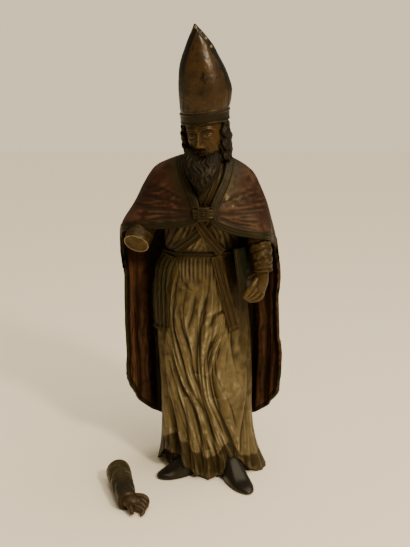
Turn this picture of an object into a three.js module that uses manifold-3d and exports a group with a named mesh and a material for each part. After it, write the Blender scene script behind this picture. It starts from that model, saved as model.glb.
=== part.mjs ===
// A carved and painted wooden bishop saint, standing, with the broken-off right forearm lying beside the figure.
// Millimetres, +Z up. The figure faces -Y, so +X is the viewer's right. The origin is on the floor under the figure.
import * as THREE from "three";
import { mergeVertices } from "three/addons/utils/BufferGeometryUtils.js";
import Module from "manifold-3d";

const wasm = await Module();
wasm.setup();

// Driving dimensions
const MITRE_RISE = 143; // from the mitre's lower edge to its tip
const MITRE_TURN = 23; // how far the mitre is turned on the head, back towards the viewer
const HEAD_AT = [2, -20, 586]; // middle of the head
const HEAD_TURN = { yaw: -20, pitch: 10, roll: 3 }; // degrees: towards the viewer's left, down, and leaning left
const CLOAK_THICK = 6;
const CLOAK_NECK = 548; // height of the cloak's neck edge
const CLOAK_BACK_HEM = 55; // height of the cloak's hem in the middle of the back
const OVER_ARM = 78; // the angle from the front where the cloak leaves the arms and starts to fall
const BELT = 392; // height of the belt
const STOLE_WIDE = 18;
const STOLE_THICK = 4;
const ARM_R = 21; // radius of the right sleeve where the arm broke
const LOOSE_ARM = 88; // length of the loose forearm's sleeve
const TILT = Math.PI / 180;

// Heights and shape of the alb: centre x, centre y, half width, depth in front, depth behind
const ALB = [
  [0, 6, -2, 88, 58, 60],
  [45, 4, -2, 82, 56, 60],
  [110, 3, -2, 79, 54, 60],
  [170, 2, -3, 79, 57, 62],
  [250, -2, -2, 79, 54, 62],
  [320, -7, -1, 76, 50, 62],
  [365, -8, 0, 69, 44, 62],
  [392, -7, 0, 59, 39, 62],
  [420, -5, 0, 61, 46, 62],
  [462, -5, 0, 64, 52, 62],
];

// The cloak's outline as it goes round the figure: height, half width left, half width right, depth in front, depth behind
const CLOAK = [
  [50, 134, 126, 50, 76],
  [150, 137, 130, 54, 76],
  [200, 138, 132, 56, 74],
  [250, 139, 130, 58, 72],
  [300, 139, 127, 60, 70],
  [350, 138, 126, 62, 68],
  [400, 139, 120, 68, 68],
  [425, 135, 115, 74, 68],
  [450, 126, 108, 73, 68],
  [475, 113, 100, 67, 67],
  [500, 101, 90, 58, 64],
  [520, 89, 79, 50, 58],
  [533, 77, 64, 43, 52],
  [541, 60, 50, 38, 45],
  [548, 38, 36, 32, 36],
];

// The cloak's front edges, from the neck to the hem: share of the way, x and height
const LEFT_EDGE = [
  [0, -34, 548],
  [0.12, -25, 515],
  [0.2, -9, 474],
  [0.27, -12, 448],
  [0.36, -44, 440],
  [0.46, -88, 436],
  [0.53, -121, 430],
  [0.6, -137, 400],
  [0.72, -139, 320],
  [0.86, -139, 240],
  [1, -137, 166],
];
const RIGHT_EDGE = [
  [0, 34, 548],
  [0.12, 26, 515],
  [0.2, 8, 474],
  [0.27, 11, 446],
  [0.36, 38, 431],
  [0.46, 74, 422],
  [0.53, 101, 414],
  [0.6, 119, 392],
  [0.72, 127, 316],
  [0.86, 131, 236],
  [1, 126, 168],
];

// The deep folds of the alb's skirt: where each valley runs at these heights, and its depth and half width
const FOLD_LEVELS = [400, 330, 270, 210, 150, 90, 40, 0];
const FOLDS = [
  { x: [-48, -64, -69, -66, -59, -51, -44, -42], deep: 9, wide: 8 },
  { x: [-40, -56, -60, -49, -31, -19, -12, -10], deep: 6, wide: 6 },
  { x: [-30, -44, -50, -35, -15, -2, 5, 7], deep: 7, wide: 6 },
  { x: [-4, 4, -8, -12, -4, 9, 24, 28], deep: 8, wide: 6 },
  { x: [18, 30, 24, 4, 6, 25, 38, 42], deep: 7, wide: 6 },
  { x: [34, 41, 34, 14, 21, 41, 53, 57], deep: 7, wide: 6 },
  { x: [46, 66, 74, 76, 73, 70, 66, 64], deep: 7, wide: 7 },
];
const SIDE = 105; // degrees from the front where the carved folds give way to the plain back
const KNEE = { x: 44, z: 168, out: 10, r: 30 };

const clamp = (v, low = 0, high = 1) => Math.min(high, Math.max(low, v));
const ease = (a, b, v) => {
  const t = clamp((v - a) / (b - a));
  return t * t * (3 - 2 * t);
};
const bump = (v, at, wide) => Math.exp(-(((v - at) / wide) ** 2));
const mix = (a, b, t) => a + (b - a) * t;

// Values of a table of rows at a key, on a smooth curve through the rows
function along(rows, key) {
  const last = rows.length - 1;
  let i = 0;
  while (i < last - 1 && key > rows[i + 1][0]) i += 1;
  const span = rows[i + 1][0] - rows[i][0];
  const t = clamp((key - rows[i][0]) / span);
  const slope = (j, k) => {
    const [a, b] = [Math.max(0, j - 1), Math.min(last, j + 1)];
    return ((rows[b][k] - rows[a][k]) / (rows[b][0] - rows[a][0])) * span;
  };
  return rows[i].slice(1).map((v, n) => {
    const [w, k] = [rows[i + 1][n + 1], n + 1];
    const rise = 3 * (w - v) - 2 * slope(i, k) - slope(i + 1, k);
    const bend = slope(i, k) + slope(i + 1, k) - 2 * (w - v);
    return v + t * (slope(i, k) + t * (rise + t * bend));
  });
}

// Moves every vertex of a closed primitive, then makes it a solid
function shaped(geometry, place) {
  const points = geometry.getAttribute("position");
  for (let i = 0; i < points.count; i += 1) {
    const p = place(points.getX(i), points.getY(i), points.getZ(i));
    points.setXYZ(i, p.x, p.y, p.z);
  }
  geometry.deleteAttribute("normal");
  geometry.deleteAttribute("uv");
  const merged = mergeVertices(geometry, 1e-3);
  const solid = new wasm.Manifold(
    new wasm.Mesh({
      numProp: 3,
      vertProperties: merged.getAttribute("position").array,
      triVerts: new Uint32Array(merged.index.array),
    }),
  );
  if (solid.volume() > 0) return solid;
  const turned = merged.index.array;
  for (let i = 0; i < turned.length; i += 3) [turned[i], turned[i + 1]] = [turned[i + 1], turned[i]];
  return new wasm.Manifold(
    new wasm.Mesh({
      numProp: 3,
      vertProperties: merged.getAttribute("position").array,
      triVerts: new Uint32Array(turned),
    }),
  );
}

// A closed loft: place(angle, share of the length, 1 on the wall or 0 in the middle of a cap)
function loft(around, lengthwise, place) {
  const barrel = new THREE.CylinderGeometry(1, 1, 1, around, lengthwise);
  return shaped(barrel, (x, y, z) => {
    const wall = Math.hypot(x, z) > 0.5 ? 1 : 0;
    const turn = ((Math.atan2(x, -z) / (2 * Math.PI)) * around + around) % around;
    return place(Math.round(turn) % around, Math.round((y + 0.5) * lengthwise), wall);
  });
}

// A closed slab whose long faces follow place(across, along, depth), each from 0 to 1
function slab(across, lengthwise, place, deep = 1) {
  const box = new THREE.BoxGeometry(1, 1, 1, across, lengthwise, deep);
  return shaped(box, (x, y, z) => place(x + 0.5, y + 0.5, z + 0.5));
}

// A closed ball: place(unit direction)
function ball(around, rings, place) {
  return shaped(new THREE.SphereGeometry(1, around, rings), (x, y, z) => place(new THREE.Vector3(x, -z, y)));
}

// A finger along a bent path
function finger(path, radius) {
  const [sides, steps] = [5, 3];
  const bend = new THREE.CatmullRomCurve3(path.map((p) => new THREE.Vector3(...p)));
  const { normals, binormals } = bend.computeFrenetFrames(steps);
  return loft(sides, steps, (i, j, wall) => {
    const turn = (i / sides) * 2 * Math.PI;
    const r = wall * radius * (j === steps ? 0.65 : 1);
    const at = bend.getPointAt(j / steps);
    return at.addScaledVector(normals[j], r * Math.cos(turn)).addScaledVector(binormals[j], r * Math.sin(turn));
  });
}

const joined = (solids) => solids.reduce((whole, solid) => whole.add(solid));

// Where each deep fold of the alb runs at a height, in degrees from the front
function foldAngles(z) {
  const [cx, , half] = along(ALB, z);
  return FOLDS.map((fold) => {
    const rows = FOLD_LEVELS.map((level, i) => [-level, fold.x[i]]);
    return Math.asin(clamp((along(rows, -z)[0] - cx) / half, -0.985, 0.985)) / TILT;
  });
}

// Angle of a column of the alb at a height. Columns 1 to 7 are the deep folds, and 8 to 12 go round the back.
function albAngle(column, z) {
  const stops = [-SIDE, ...foldAngles(z), SIDE, 142, 180, 218, 360 - SIDE];
  const i = Math.min(stops.length - 2, Math.floor(column));
  return mix(stops[i], stops[i + 1], column - i);
}

// How far the carving stands out of the alb's plain form
function albRelief(column, z) {
  const angle = albAngle(column, z);
  const [cx, , half, front] = along(ALB, z);
  const perDegree = TILT * Math.hypot(half * Math.cos(angle * TILT), front * Math.sin(angle * TILT));
  const below = 1 - ease(330, 395, z);
  let out = 0;
  foldAngles(z).forEach((fold, i) => {
    const away = (angle - fold) * perDegree;
    const { deep, wide } = FOLDS[i];
    out -= deep * below * bump(away, 0, wide);
    out += 0.35 * deep * below * (bump(away, 1.9 * wide, wide) + bump(away, -1.9 * wide, wide));
  });
  const x = cx + half * Math.sin(angle * TILT);
  const front01 = ease(95, 60, Math.abs(angle));
  out += front01 * KNEE.out * bump(x, KNEE.x, KNEE.r * 0.8) * bump(z, KNEE.z, KNEE.r);
  out += front01 * 2.5 * ease(392, 405, z) * ease(450, 420, z);
  const foot = clamp(1 - z / 110) ** 2;
  out += foot * (17 * bump(angle, 84, 20) + 9 * bump(angle, -112, 18));
  return out;
}

// Height of the alb's hem, which lifts over each shoe
const hemHeight = (angle) => 44 * bump(angle, -56, 34) + 34 * bump(angle, 36, 17);

function albPoint(column, z) {
  const angle = albAngle(column, z);
  const [cx, cy, half, front, back] = along(ALB, z);
  const [s, c] = [Math.sin(angle * TILT), Math.cos(angle * TILT)];
  const deep = c > 0 ? front : back;
  const out = new THREE.Vector2(s / half, -c / deep).normalize();
  const hem = hemHeight(angle);
  const under = ease(hem + 3, hem - 4, z) * clamp(hem / 20) * mix(22, 10, ease(-20, 0, angle));
  const relief = albRelief(column, z) - under;
  return new THREE.Vector3(cx + half * s + out.x * relief, cy - deep * c + out.y * relief, z);
}

function alb() {
  const shares = [0, 0.22, 0.5, 0.78];
  const columns = [0, 1, 2, 3, 4, 5, 6, 7].flatMap((unit) => shares.map((share) => unit + share));
  columns.push(8, 9, 10, 11);
  const levels = [0, 16, 32, 50, 74, 100, 126, 152, 180, 210, 240, 270, 298, 326, 350];
  levels.push(372, BELT - 3, BELT + 5, 462);
  return loft(columns.length, levels.length - 1, (i, j, wall) => {
    const z = levels[j];
    if (!wall) return new THREE.Vector3(0, 0, z);
    return albPoint(columns[i], z);
  });
}

// The cloak's smooth outer form at an angle from the front, in degrees, and a height
function cloakForm(angle, z) {
  const [left, right, front, back] = along(CLOAK, z);
  const [s, c] = [Math.sin(angle * TILT), Math.cos(angle * TILT)];
  const half = s < 0 ? left : right;
  const deep = c > 0 ? front : back;
  const out = new THREE.Vector3(s / half, -c / deep, 0).normalize();
  const overArm = 20 * bump(angle, -56, 22) * bump(z, 442, 34) + 12 * bump(angle, 47, 17) * bump(z, 425, 28);
  return { at: new THREE.Vector3(half * s, -deep * c, z).addScaledVector(out, overArm), out };
}

// Angle and height of the cloak where it is `side` of the way from the back (0) to a front edge (-1 or 1)
function cloakWay(side, down) {
  const [x, z] = along(side < 0 ? LEFT_EDGE : RIGHT_EDGE, down);
  const [left, right] = along(CLOAK, z);
  const lean = Math.asin(clamp(x / (side < 0 ? left : right), -1, 1)) / TILT;
  const start = lean + ease(0.52, 0.7, down) * 8 * Math.sign(side);
  const angle = mix(start, 180 * Math.sign(side || 1), 1 - Math.abs(side));
  const from = Math.max(Math.abs(start), OVER_ARM);
  const fall = 1 - (1 - clamp((Math.abs(angle) - from) / (180 - from))) ** 2.3;
  return { angle, z: mix(z, mix(CLOAK_NECK, CLOAK_BACK_HEM, down), fall) };
}

// Folds of the cloak: drawn from the clasp over each arm, and hanging down the back
function cloakFolds(side, down, angle) {
  const edge = 1 - Math.abs(side);
  const round = (180 - Math.abs(angle)) / 92;
  const drawn = ease(0.22, 0.34, down) * ease(0.62, 0.46, down) * ease(0.3, 0.12, edge);
  const hanging = ease(0.35, 0.8, down) * ease(0, 0.28, edge);
  return 2.2 * drawn * Math.cos(edge * 2 * Math.PI * 14) + 3.5 * hanging * Math.cos(round * Math.PI * 9);
}

function cloak() {
  const [across, lengthwise] = [34, 10];
  return slab(across, lengthwise, (u, v, w) => {
    const side = Math.sign(u - 0.5) * (1 - (1 - Math.abs(2 * u - 1)) ** 1.35);
    const { angle, z } = cloakWay(side, 1 - v);
    const { at, out } = cloakForm(angle, z);
    return at.addScaledVector(out, cloakFolds(side, 1 - v, angle) - (1 - w) * CLOAK_THICK);
  });
}

// The wood between the cloak and the chest
function chest() {
  const levels = [450, 475, 500, 520, 533, 541];
  return loft(16, levels.length - 1, (i, j, wall) => {
    const { at, out } = cloakForm((i / 16) * 360, levels[j]);
    return wall ? at.addScaledVector(out, -3) : new THREE.Vector3(0, 0, levels[j]);
  });
}

// Puts a point of the head's own frame in place
const headTurn = new THREE.Matrix4()
  .makeTranslation(...HEAD_AT)
  .multiply(new THREE.Matrix4().makeRotationZ(HEAD_TURN.yaw * TILT))
  .multiply(new THREE.Matrix4().makeRotationY(-HEAD_TURN.roll * TILT))
  .multiply(new THREE.Matrix4().makeRotationX(HEAD_TURN.pitch * TILT));
const onHead = (x, y, z) => new THREE.Vector3(x, y, z).applyMatrix4(headTurn);

// The mitre above its lower edge: share of the rise, half width, half depth, how far it leans to one side
const MITRE = [
  [0, 36.5, 37, 0],
  [0.11, 37.5, 37, 1],
  [0.22, 39.5, 36, 3.5],
  [0.32, 40.5, 34.5, 5],
  [0.42, 38.5, 32.5, 4.5],
  [0.55, 34.5, 29, 3],
  [0.68, 27.5, 24.5, 2],
  [0.8, 19.5, 20, 2.5],
  [0.91, 10, 15.5, 1.5],
  [1, 0.8, 12, 0],
];
const MITRE_FOOT = 15; // height of the mitre's lower edge above the middle of the head
const CLEFT = { from: 0.34, gap: 8 }; // where the two horns part, and half the gap between their tips

// A point of the mitre in its place
const onMitre = (x, y, z) => {
  const [s, c] = [Math.sin(MITRE_TURN * TILT), Math.cos(MITRE_TURN * TILT)];
  return onHead(x * c - y * s, x * s + y * c, z);
};

function mitre() {
  const shares = [0, 0.02, 0.1, 0.12, 0.25, 0.36, 0.44, 0.54, 0.65, 0.76, 0.86, 0.94, 1];
  const whole = loft(22, shares.length - 1, (i, j, wall) => {
    const share = shares[j];
    const turn = (i / 22) * 2 * Math.PI;
    const [half, deep, lean] = along(MITRE, share);
    const band = share > 0.01 && share < 0.11 ? 1.5 : 0;
    const height = MITRE_FOOT + share * MITRE_RISE;
    if (!wall) return onHead(0, 0, height);
    return onMitre(lean + (half + band) * Math.sin(turn), -Math.cos(turn) * (deep + band), height);
  });
  const cleft = slab(1, 1, (u, v, w) => {
    const share = mix(CLEFT.from, 1.1, v);
    const half = mix(0.4, CLEFT.gap, (share - CLEFT.from) / (1 - CLEFT.from));
    return onMitre((u - 0.5) * 120, (0.5 - w) * 2 * half, MITRE_FOOT + share * MITRE_RISE);
  });
  return whole.subtract(cleft);
}

// The ornament carved on the front of the mitre
function mitreOrnament() {
  const [, deep, lean] = along(MITRE, 0.47);
  const height = MITRE_FOOT + 0.47 * MITRE_RISE;
  const boss = (dx, dz, r) =>
    ball(5, 3, (d) => onMitre(lean + dx + d.x * r, -deep + 0.6 + d.y * 3.2, height + dz + d.z * r * 1.25));
  return joined([boss(0, 0, 4), boss(0, 8, 2.8), boss(0, -8, 2.8), boss(5, 0, 2.4), boss(-5, 0, 2.4)]);
}

// The head below the mitre: height, half width, depth in front, depth behind
const HEAD = [
  [-60, 24, 14, 30],
  [-48, 22, 20, 29],
  [-42, 19, 29, 28],
  [-34, 23, 33, 30],
  [-22, 27, 34.5, 33],
  [-8, 29.5, 35.5, 35],
  [4, 30.5, 36, 36],
  [14, 31, 36, 36],
  [30, 31, 35, 36],
];

// How far the features stand out of the plain face, at x and a height
function face(x, z) {
  const across = Math.abs(x);
  const nose = ease(8, -16, z) * ease(-22, -18, z);
  let out = nose * 11 * bump(x, 0, mix(3, 4.6, ease(0, -16, z)));
  out += 3.5 * bump(across, 6, 2.6) * bump(z, -17, 3.4);
  out += 2.4 * bump(z, 8.5, 3.6) * ease(25, 16, across);
  out -= 4.6 * bump(across, 12.5, 6.5) * bump(z, 1, 4.6);
  out += 3.2 * bump(across, 12.5, 4.4) * bump(z, 0.5, 3);
  out += 2.4 * bump(across, 18, 6) * bump(z, -11, 6);
  out += 2.6 * bump(across, 0, 7) * (bump(z, -26, 2) + bump(z, -31, 2.2));
  return out;
}

function head() {
  const levels = [-60, -42, -31, -28.5, -26, -22, -18.5, -17, -13, -8, -3, 1, 5, 9, 13, 20];
  const angles = [180, 230, 275, 308, 326, 337, 345, 351, 355.5, 0, 4.5, 9, 15, 23, 34, 52, 85, 130];
  return loft(angles.length, levels.length - 1, (i, j, wall) => {
    const z = levels[j];
    const [half, front, back] = along(HEAD, z);
    const [s, c] = [Math.sin(angles[i] * TILT), Math.cos(angles[i] * TILT)];
    if (!wall) return onHead(0, 0, z);
    const out = c > 0 ? face(half * s, z) * ease(0, 0.4, c) : 0;
    return onHead(half * s, c > 0 ? -front * c - out : -back * c, z);
  });
}

// The beard, in wavy locks that come to a point on the chest: share of its length, half width, thickness
const BEARD = [
  [0, 26, 14],
  [0.2, 31, 19],
  [0.45, 28, 19],
  [0.75, 17, 15],
  [1, 3, 5],
];

function beard() {
  const [around, lengthwise] = [22, 8];
  const [top, tip] = [onHead(0, -22, -21), new THREE.Vector3(-4, -66, 496)];
  return loft(around, lengthwise, (i, j, wall) => {
    const share = j / lengthwise;
    const [half, thick] = along(BEARD, share);
    const turn = (i / around) * 2 * Math.PI;
    const lock = 1.4 * Math.cos(turn * 11 + share * 5) * ease(0, 0.2, share);
    const at = top.clone().lerp(tip, share);
    if (!wall) return at;
    const aside = at.x + (half + lock) * Math.sin(turn);
    return new THREE.Vector3(aside, at.y - (thick + lock) * Math.cos(turn), at.z - 5 * Math.cos(turn) * (1 - share));
  });
}

// A mass of curls between two points of the head
function curls(from, to, wide, turns) {
  const [around, lengthwise] = [7, turns * 2];
  const [a, b] = [onHead(...from), onHead(...to)];
  return loft(around, lengthwise, (i, j, wall) => {
    const share = j / lengthwise;
    const turn = (i / around) * 2 * Math.PI;
    const r = wall * wide * (j % 2 ? 1 : 0.76) * mix(1, 0.8, share) * (j === lengthwise ? 0.5 : 1);
    const at = a.clone().lerp(b, share);
    return new THREE.Vector3(at.x + 0.8 * r * Math.sin(turn), at.y - 1.5 * r * Math.cos(turn), at.z);
  });
}

// Curls down each side of the head, and the hair behind it
function hair() {
  const nape = ball(12, 7, (d) => onHead(d.x * 33, 12 + d.y * 27, -14 + d.z * 44));
  return joined([
    nape,
    curls([31, 2, 16], [29, 8, -54], 9, 4),
    curls([-33, -2, 16], [-31, 8, -50], 9, 4),
  ]);
}

// The book under the left hand: its spine faces forward
function book() {
  const [tall, thick, deep, cover] = [70, 11, 46, 1.6];
  const place = new THREE.Matrix4()
    .makeTranslation(54, -58, 370)
    .multiply(new THREE.Matrix4().makeRotationZ(-26 * TILT))
    .multiply(new THREE.Matrix4().makeRotationY(-8 * TILT));
  const block = (w, d, h, x, y) =>
    slab(1, 1, (u, v, t) => new THREE.Vector3(x + (u - 0.5) * w, y + t * d, (v - 0.5) * h).applyMatrix4(place));
  return joined([
    block(thick - cover, deep - 4, tall - 5, 0, 2),
    block(cover, deep, tall, (thick - cover) / 2, 0),
    block(cover, deep, tall, -(thick - cover) / 2, 0),
    block(thick, 2.4, tall, 0, deep - 2.4),
  ]);
}

// A sleeve between two points: radii at its ends, ripples along it
function sleeve(from, to, r0, r1, ripple, around = 14, lengthwise = 7) {
  const [a, b] = [new THREE.Vector3(...from), new THREE.Vector3(...to)];
  const way = new THREE.Vector3().subVectors(b, a).normalize();
  const acrossWay = new THREE.Vector3(1, 0, 0).addScaledVector(way, -way.x).normalize();
  const third = new THREE.Vector3().crossVectors(way, acrossWay);
  return loft(around, lengthwise, (i, j, wall) => {
    const share = j / lengthwise;
    const turn = (i / around) * 2 * Math.PI;
    const fold = ripple * Math.cos(share * 16 + 1.3 * Math.cos(turn)) * Math.sin(share * Math.PI);
    const r = wall * (mix(r0, r1, share) + fold);
    const middle = a.clone().lerp(b, share);
    return middle.addScaledVector(acrossWay, r * Math.cos(turn)).addScaledVector(third, r * Math.sin(turn));
  });
}

// The right arm, broken off square below the cloak's edge
const STUMP = { at: [-107, -68, 415], back: [-94, -30, 448] };
const stump = () => sleeve(STUMP.back, STUMP.at, ARM_R + 1, ARM_R, 0, 16, 2);

// The left arm hangs at the side, and its hand holds the book
function leftArm() {
  const arm = sleeve([80, -28, 446], [92, -46, 370], 20, 16.5, 1.2, 12, 6);
  const cuff = sleeve([91, -45, 376], [92, -46, 368], 17.5, 18.5, 0, 12, 1);
  const palm = ball(10, 6, (d) => new THREE.Vector3(89 + d.x * 16 - d.z * 1, -48 + d.y * 10, 349 + d.z * 24));
  const fingers = [0, 1, 2, 3].map((i) => {
    const root = [95 - i * 3, -44 - i * 4, 342 - i * 1.5];
    const knuckle = [87 - i * 3, -49 - i * 4.4, 326 - i * 0.5];
    const tip = [65 - i * 0.5, -50 - i * 4.6, 325 + i * 1];
    return finger([root, knuckle, tip], 5);
  });
  const thumb = finger([[82, -54, 360], [69, -61, 344], [61, -64, 331]], 5);
  return joined([arm, cuff, palm, ...fingers, thumb]);
}

// A shoe with a flat sole: where its heel and toe are on the floor
function shoe(heel, toe, high) {
  const [a, b] = [new THREE.Vector3(...heel, 0), new THREE.Vector3(...toe, 0)];
  const way = new THREE.Vector3().subVectors(b, a);
  const long = way.length();
  way.normalize();
  const across = new THREE.Vector3(-way.y, way.x, 0);
  return ball(12, 8, (d) => {
    const share = clamp(0.5 + d.x * 0.5);
    const wide = mix(15, 19.5, ease(0, 0.62, share)) * (1 - 0.12 * ease(0.8, 1, share));
    const top = mix(high, 15, ease(0.25, 0.8, share));
    const side = Math.sign(d.y) * Math.abs(d.y) ** 0.8 * wide;
    const point = a.clone().addScaledVector(way, share * long).addScaledVector(across, side);
    point.z = d.z > 0 ? 4 + d.z * (top - 4) : Math.max(0, 4 + d.z * 9);
    return point;
  });
}

// A band of the stole laid on the alb between two places, each an x and a height
function stoleBand(from, to, flare = 1) {
  return slab(1, 7, (u, v, w) => {
    const share = 1 - v;
    const z = mix(from[1], to[1], share);
    const run = Math.hypot(to[0] - from[0], to[1] - from[1]);
    const half = (STOLE_WIDE / 2) * mix(1, flare, share);
    const tilt = [-(to[1] - from[1]) / run, (to[0] - from[0]) / run];
    const across = (u - 0.5) * 2 * half;
    const x = mix(from[0], to[0], share) + across * tilt[0];
    const height = z + across * tilt[1];
    const [cx, cy, wide, front] = along(ALB, height);
    const sine = clamp((x - cx) / wide, -1, 1);
    const y = cy - front * Math.sqrt(1 - sine * sine);
    return new THREE.Vector3(x, y - 2.5 - (w - 0.5) * STOLE_THICK * 2, height);
  });
}

function stole() {
  return joined([
    stoleBand([-12, 452], [25, BELT]),
    stoleBand([10, 452], [-46, BELT + 4]),
    stoleBand([12, BELT], [46, 270], 0.9),
    stoleBand([-59, BELT], [-72, 276], 1.3),
  ]);
}

// The belt, a cord round the waist
function belt() {
  return slab(16, 1, (u, v, w) => {
    const angle = mix(-95, 95, u);
    const [cx, cy, half, front] = along(ALB, BELT);
    const out = w * 5 - 2;
    const z = BELT + (v - 0.5) * 7 + 3 * (angle / 95) ** 2;
    return new THREE.Vector3(cx + (half + out) * Math.sin(angle * TILT), cy - (front + out) * Math.cos(angle * TILT), z);
  });
}

// The clasp that closes the cloak on the chest
function clasp() {
  const plate = (wide, tall, from, to) =>
    slab(2, 2, (u, v, w) => new THREE.Vector3(-1 + (u - 0.5) * wide, mix(to, from, w), 462 + (v - 0.5) * tall));
  const boss = ball(8, 6, (d) => new THREE.Vector3(-1 + d.x * 5, -79 + d.y * 3, 462 + d.z * 6));
  return joined([plate(19, 26, -78, -62), plate(13, 19, -79.5, -62), boss]);
}

// The forearm that broke off: its sleeve lies on the floor, and its hand bends at the wrist, half closed
function looseForearm() {
  const [far, cuff] = [new THREE.Vector3(-148, -62, 0), new THREE.Vector3(-123, -146, 0)];
  const way = new THREE.Vector3().subVectors(cuff, far).normalize();
  const across = new THREE.Vector3(-way.y, way.x, 0);
  const [r0, r1, around, lengthwise] = [ARM_R - 0.5, 15.5, 14, 7];
  const flat = 0.93; // share of a radius where the underside is cut flat, so that it can't roll
  const arm = loft(around, lengthwise, (i, j, wall) => {
    const share = j / lengthwise;
    const turn = (i / around) * 2 * Math.PI;
    const r = mix(r0, r1, ease(0, 1, share)) + 0.9 * Math.sin(share * 13 + 2 * Math.cos(turn));
    const middle = far.clone().addScaledVector(way, share * LOOSE_ARM - 3 * (1 - share) * Math.cos(turn));
    const rise = Math.max(-flat * mix(r0, r1, share), wall * r * Math.cos(turn));
    middle.addScaledVector(across, wall * r * Math.sin(turn));
    middle.z = flat * mix(r0, r1, share) + rise;
    return middle;
  });
  const palm = ball(10, 6, (d) => new THREE.Vector3(-115 + d.x * 16, -147 + d.y * 12, 15 + d.z * 10));
  const fingers = [0, 1, 2, 3].map((i) => {
    const root = [-107, -139 - i * 6.5, 20 - i * 3];
    const knuckle = [-92 - i * 1.5, -141 - i * 7.5, 17 - i * 2.6];
    const tip = [-96 - i * 2.5, -147 - i * 7.5, 7 - i * 0.6];
    return finger([root, knuckle, tip], 4.8);
  });
  const thumb = finger([[-121, -150, 15], [-117, -160, 11], [-115, -170, 8]], 4.8);
  return joined([arm, palm, ...fingers, thumb]);
}

const floor = new THREE.BoxGeometry(1, 1, 1);
const underFloor = () => shaped(floor.clone(), (x, y, z) => new THREE.Vector3(x * 900, y * 900, z * 100 - 50));

function piece(name, solid, colour, roughness) {
  const bodies = solid.subtract(underFloor()).decompose();
  const whole = bodies.reduce((best, body) => (body.volume() > best.volume() ? body : best));
  const { numProp, numVert, vertProperties, triVerts } = whole.getMesh();
  const points = new Float32Array(numVert * 3);
  for (let i = 0; i < numVert; i += 1) points.set(vertProperties.subarray(i * numProp, i * numProp + 3), i * 3);
  const geometry = new THREE.BufferGeometry()
    .setAttribute("position", new THREE.BufferAttribute(points, 3))
    .setIndex(new THREE.BufferAttribute(new Uint32Array(triVerts), 1));
  geometry.computeVertexNormals();
  const mesh = new THREE.Mesh(geometry, new THREE.MeshStandardMaterial({ color: colour, roughness, metalness: 0 }));
  mesh.name = name;
  return mesh;
}

const figure = joined([
  alb(),
  chest(),
  cloak(),
  head(),
  mitre(),
  mitreOrnament(),
  beard(),
  hair(),
  stump(),
  leftArm(),
  book(),
  stole(),
  belt(),
  clasp(),
  shoe([-4, -14], [-82, -54], 48),
  shoe([30, -16], [75, -106], 44),
]);

const saint = new THREE.Group();
saint.add(piece("saint_figure", figure, 0x6b5238, 0.5));
saint.add(piece("loose_right_forearm", looseForearm(), 0x4a3b26, 0.55));

export default saint;
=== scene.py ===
# The looks of a carved and painted wooden bishop saint, and of the forearm that broke off and lies beside it.
import math

import bpy
import numpy as np
from mathutils import Euler, Matrix, Vector


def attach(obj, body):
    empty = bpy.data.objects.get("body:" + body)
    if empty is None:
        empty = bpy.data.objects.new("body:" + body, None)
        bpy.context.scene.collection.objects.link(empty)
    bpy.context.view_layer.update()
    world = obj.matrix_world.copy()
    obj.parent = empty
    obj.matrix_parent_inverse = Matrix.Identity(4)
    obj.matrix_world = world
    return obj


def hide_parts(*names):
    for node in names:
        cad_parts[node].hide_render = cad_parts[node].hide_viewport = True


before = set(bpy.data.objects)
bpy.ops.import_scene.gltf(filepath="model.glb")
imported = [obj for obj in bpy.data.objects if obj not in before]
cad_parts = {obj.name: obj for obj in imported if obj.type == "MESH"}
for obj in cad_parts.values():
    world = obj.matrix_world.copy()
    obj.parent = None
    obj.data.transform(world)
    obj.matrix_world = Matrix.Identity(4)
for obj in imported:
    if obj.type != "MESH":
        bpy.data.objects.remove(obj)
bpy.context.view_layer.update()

MM = 0.001
DEGREE = math.pi / 180
UPRIGHT_GRAIN = (1, 1, 0.12)

# Sizes in millimetres and degrees, the same as in the solids
HEAD_AT = (2, -20, 586)
HEAD_TURN = {"Z": -20, "Y": -3, "X": 10}
MITRE_RISE = 143
MITRE_FOOT = 15
MITRE_TURN = 23
CLEFT_FROM, CLEFT_GAP = 0.34, 8
CLOAK_THICK = 6
CLOAK_NECK, CLOAK_BACK_HEM = 548, 55
OVER_ARM = 78
BORDER_WIDE = 13
LINING_EDGE = 8
ALB_TOP, BELT = 546, 392
ARM_R = 21
LOOSE_ARM = 88
CLASP_X, CLASP_Z = -3, 462

# The alb's green collar and dark hem, how far apart its fine folds are, and how many creases it has
COLLAR_FROM, HEM_BAND = 466, 31
GATHER_PITCH, CHEST_PITCH, FLUTE_PITCH = 6.4, 10, 9.5
CREASES = 96

# Heights and shape of the alb: centre x, centre y, half width, depth in front, depth behind
ALB = [
    [0, 6, -2, 88, 58, 60],
    [45, 4, -2, 82, 56, 60],
    [110, 3, -2, 79, 54, 60],
    [170, 2, -3, 79, 57, 62],
    [250, -2, -2, 79, 54, 62],
    [320, -7, -1, 76, 50, 62],
    [365, -8, 0, 69, 44, 62],
    [392, -7, 0, 59, 39, 62],
    [420, -5, 0, 61, 46, 62],
    [462, -5, 0, 64, 52, 62],
    [485, -2, 0, 62, 55, 58],
    [510, 0, 0, 52, 50, 52],
    [530, 0, 0, 40, 43, 44],
    [546, 0, 0, 26, 33, 32],
]

# The cope's outline round the figure: height, half width left, half width right, depth in front, depth behind
CLOAK = [
    [50, 134, 126, 50, 76],
    [150, 137, 130, 54, 76],
    [200, 138, 132, 56, 74],
    [250, 139, 130, 58, 72],
    [300, 139, 127, 60, 70],
    [350, 138, 126, 62, 68],
    [400, 139, 120, 68, 68],
    [425, 135, 115, 74, 68],
    [450, 126, 108, 73, 68],
    [475, 113, 100, 67, 67],
    [500, 101, 90, 58, 64],
    [520, 89, 79, 50, 58],
    [533, 77, 64, 43, 52],
    [541, 60, 50, 38, 45],
    [548, 38, 36, 32, 36],
]

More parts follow.
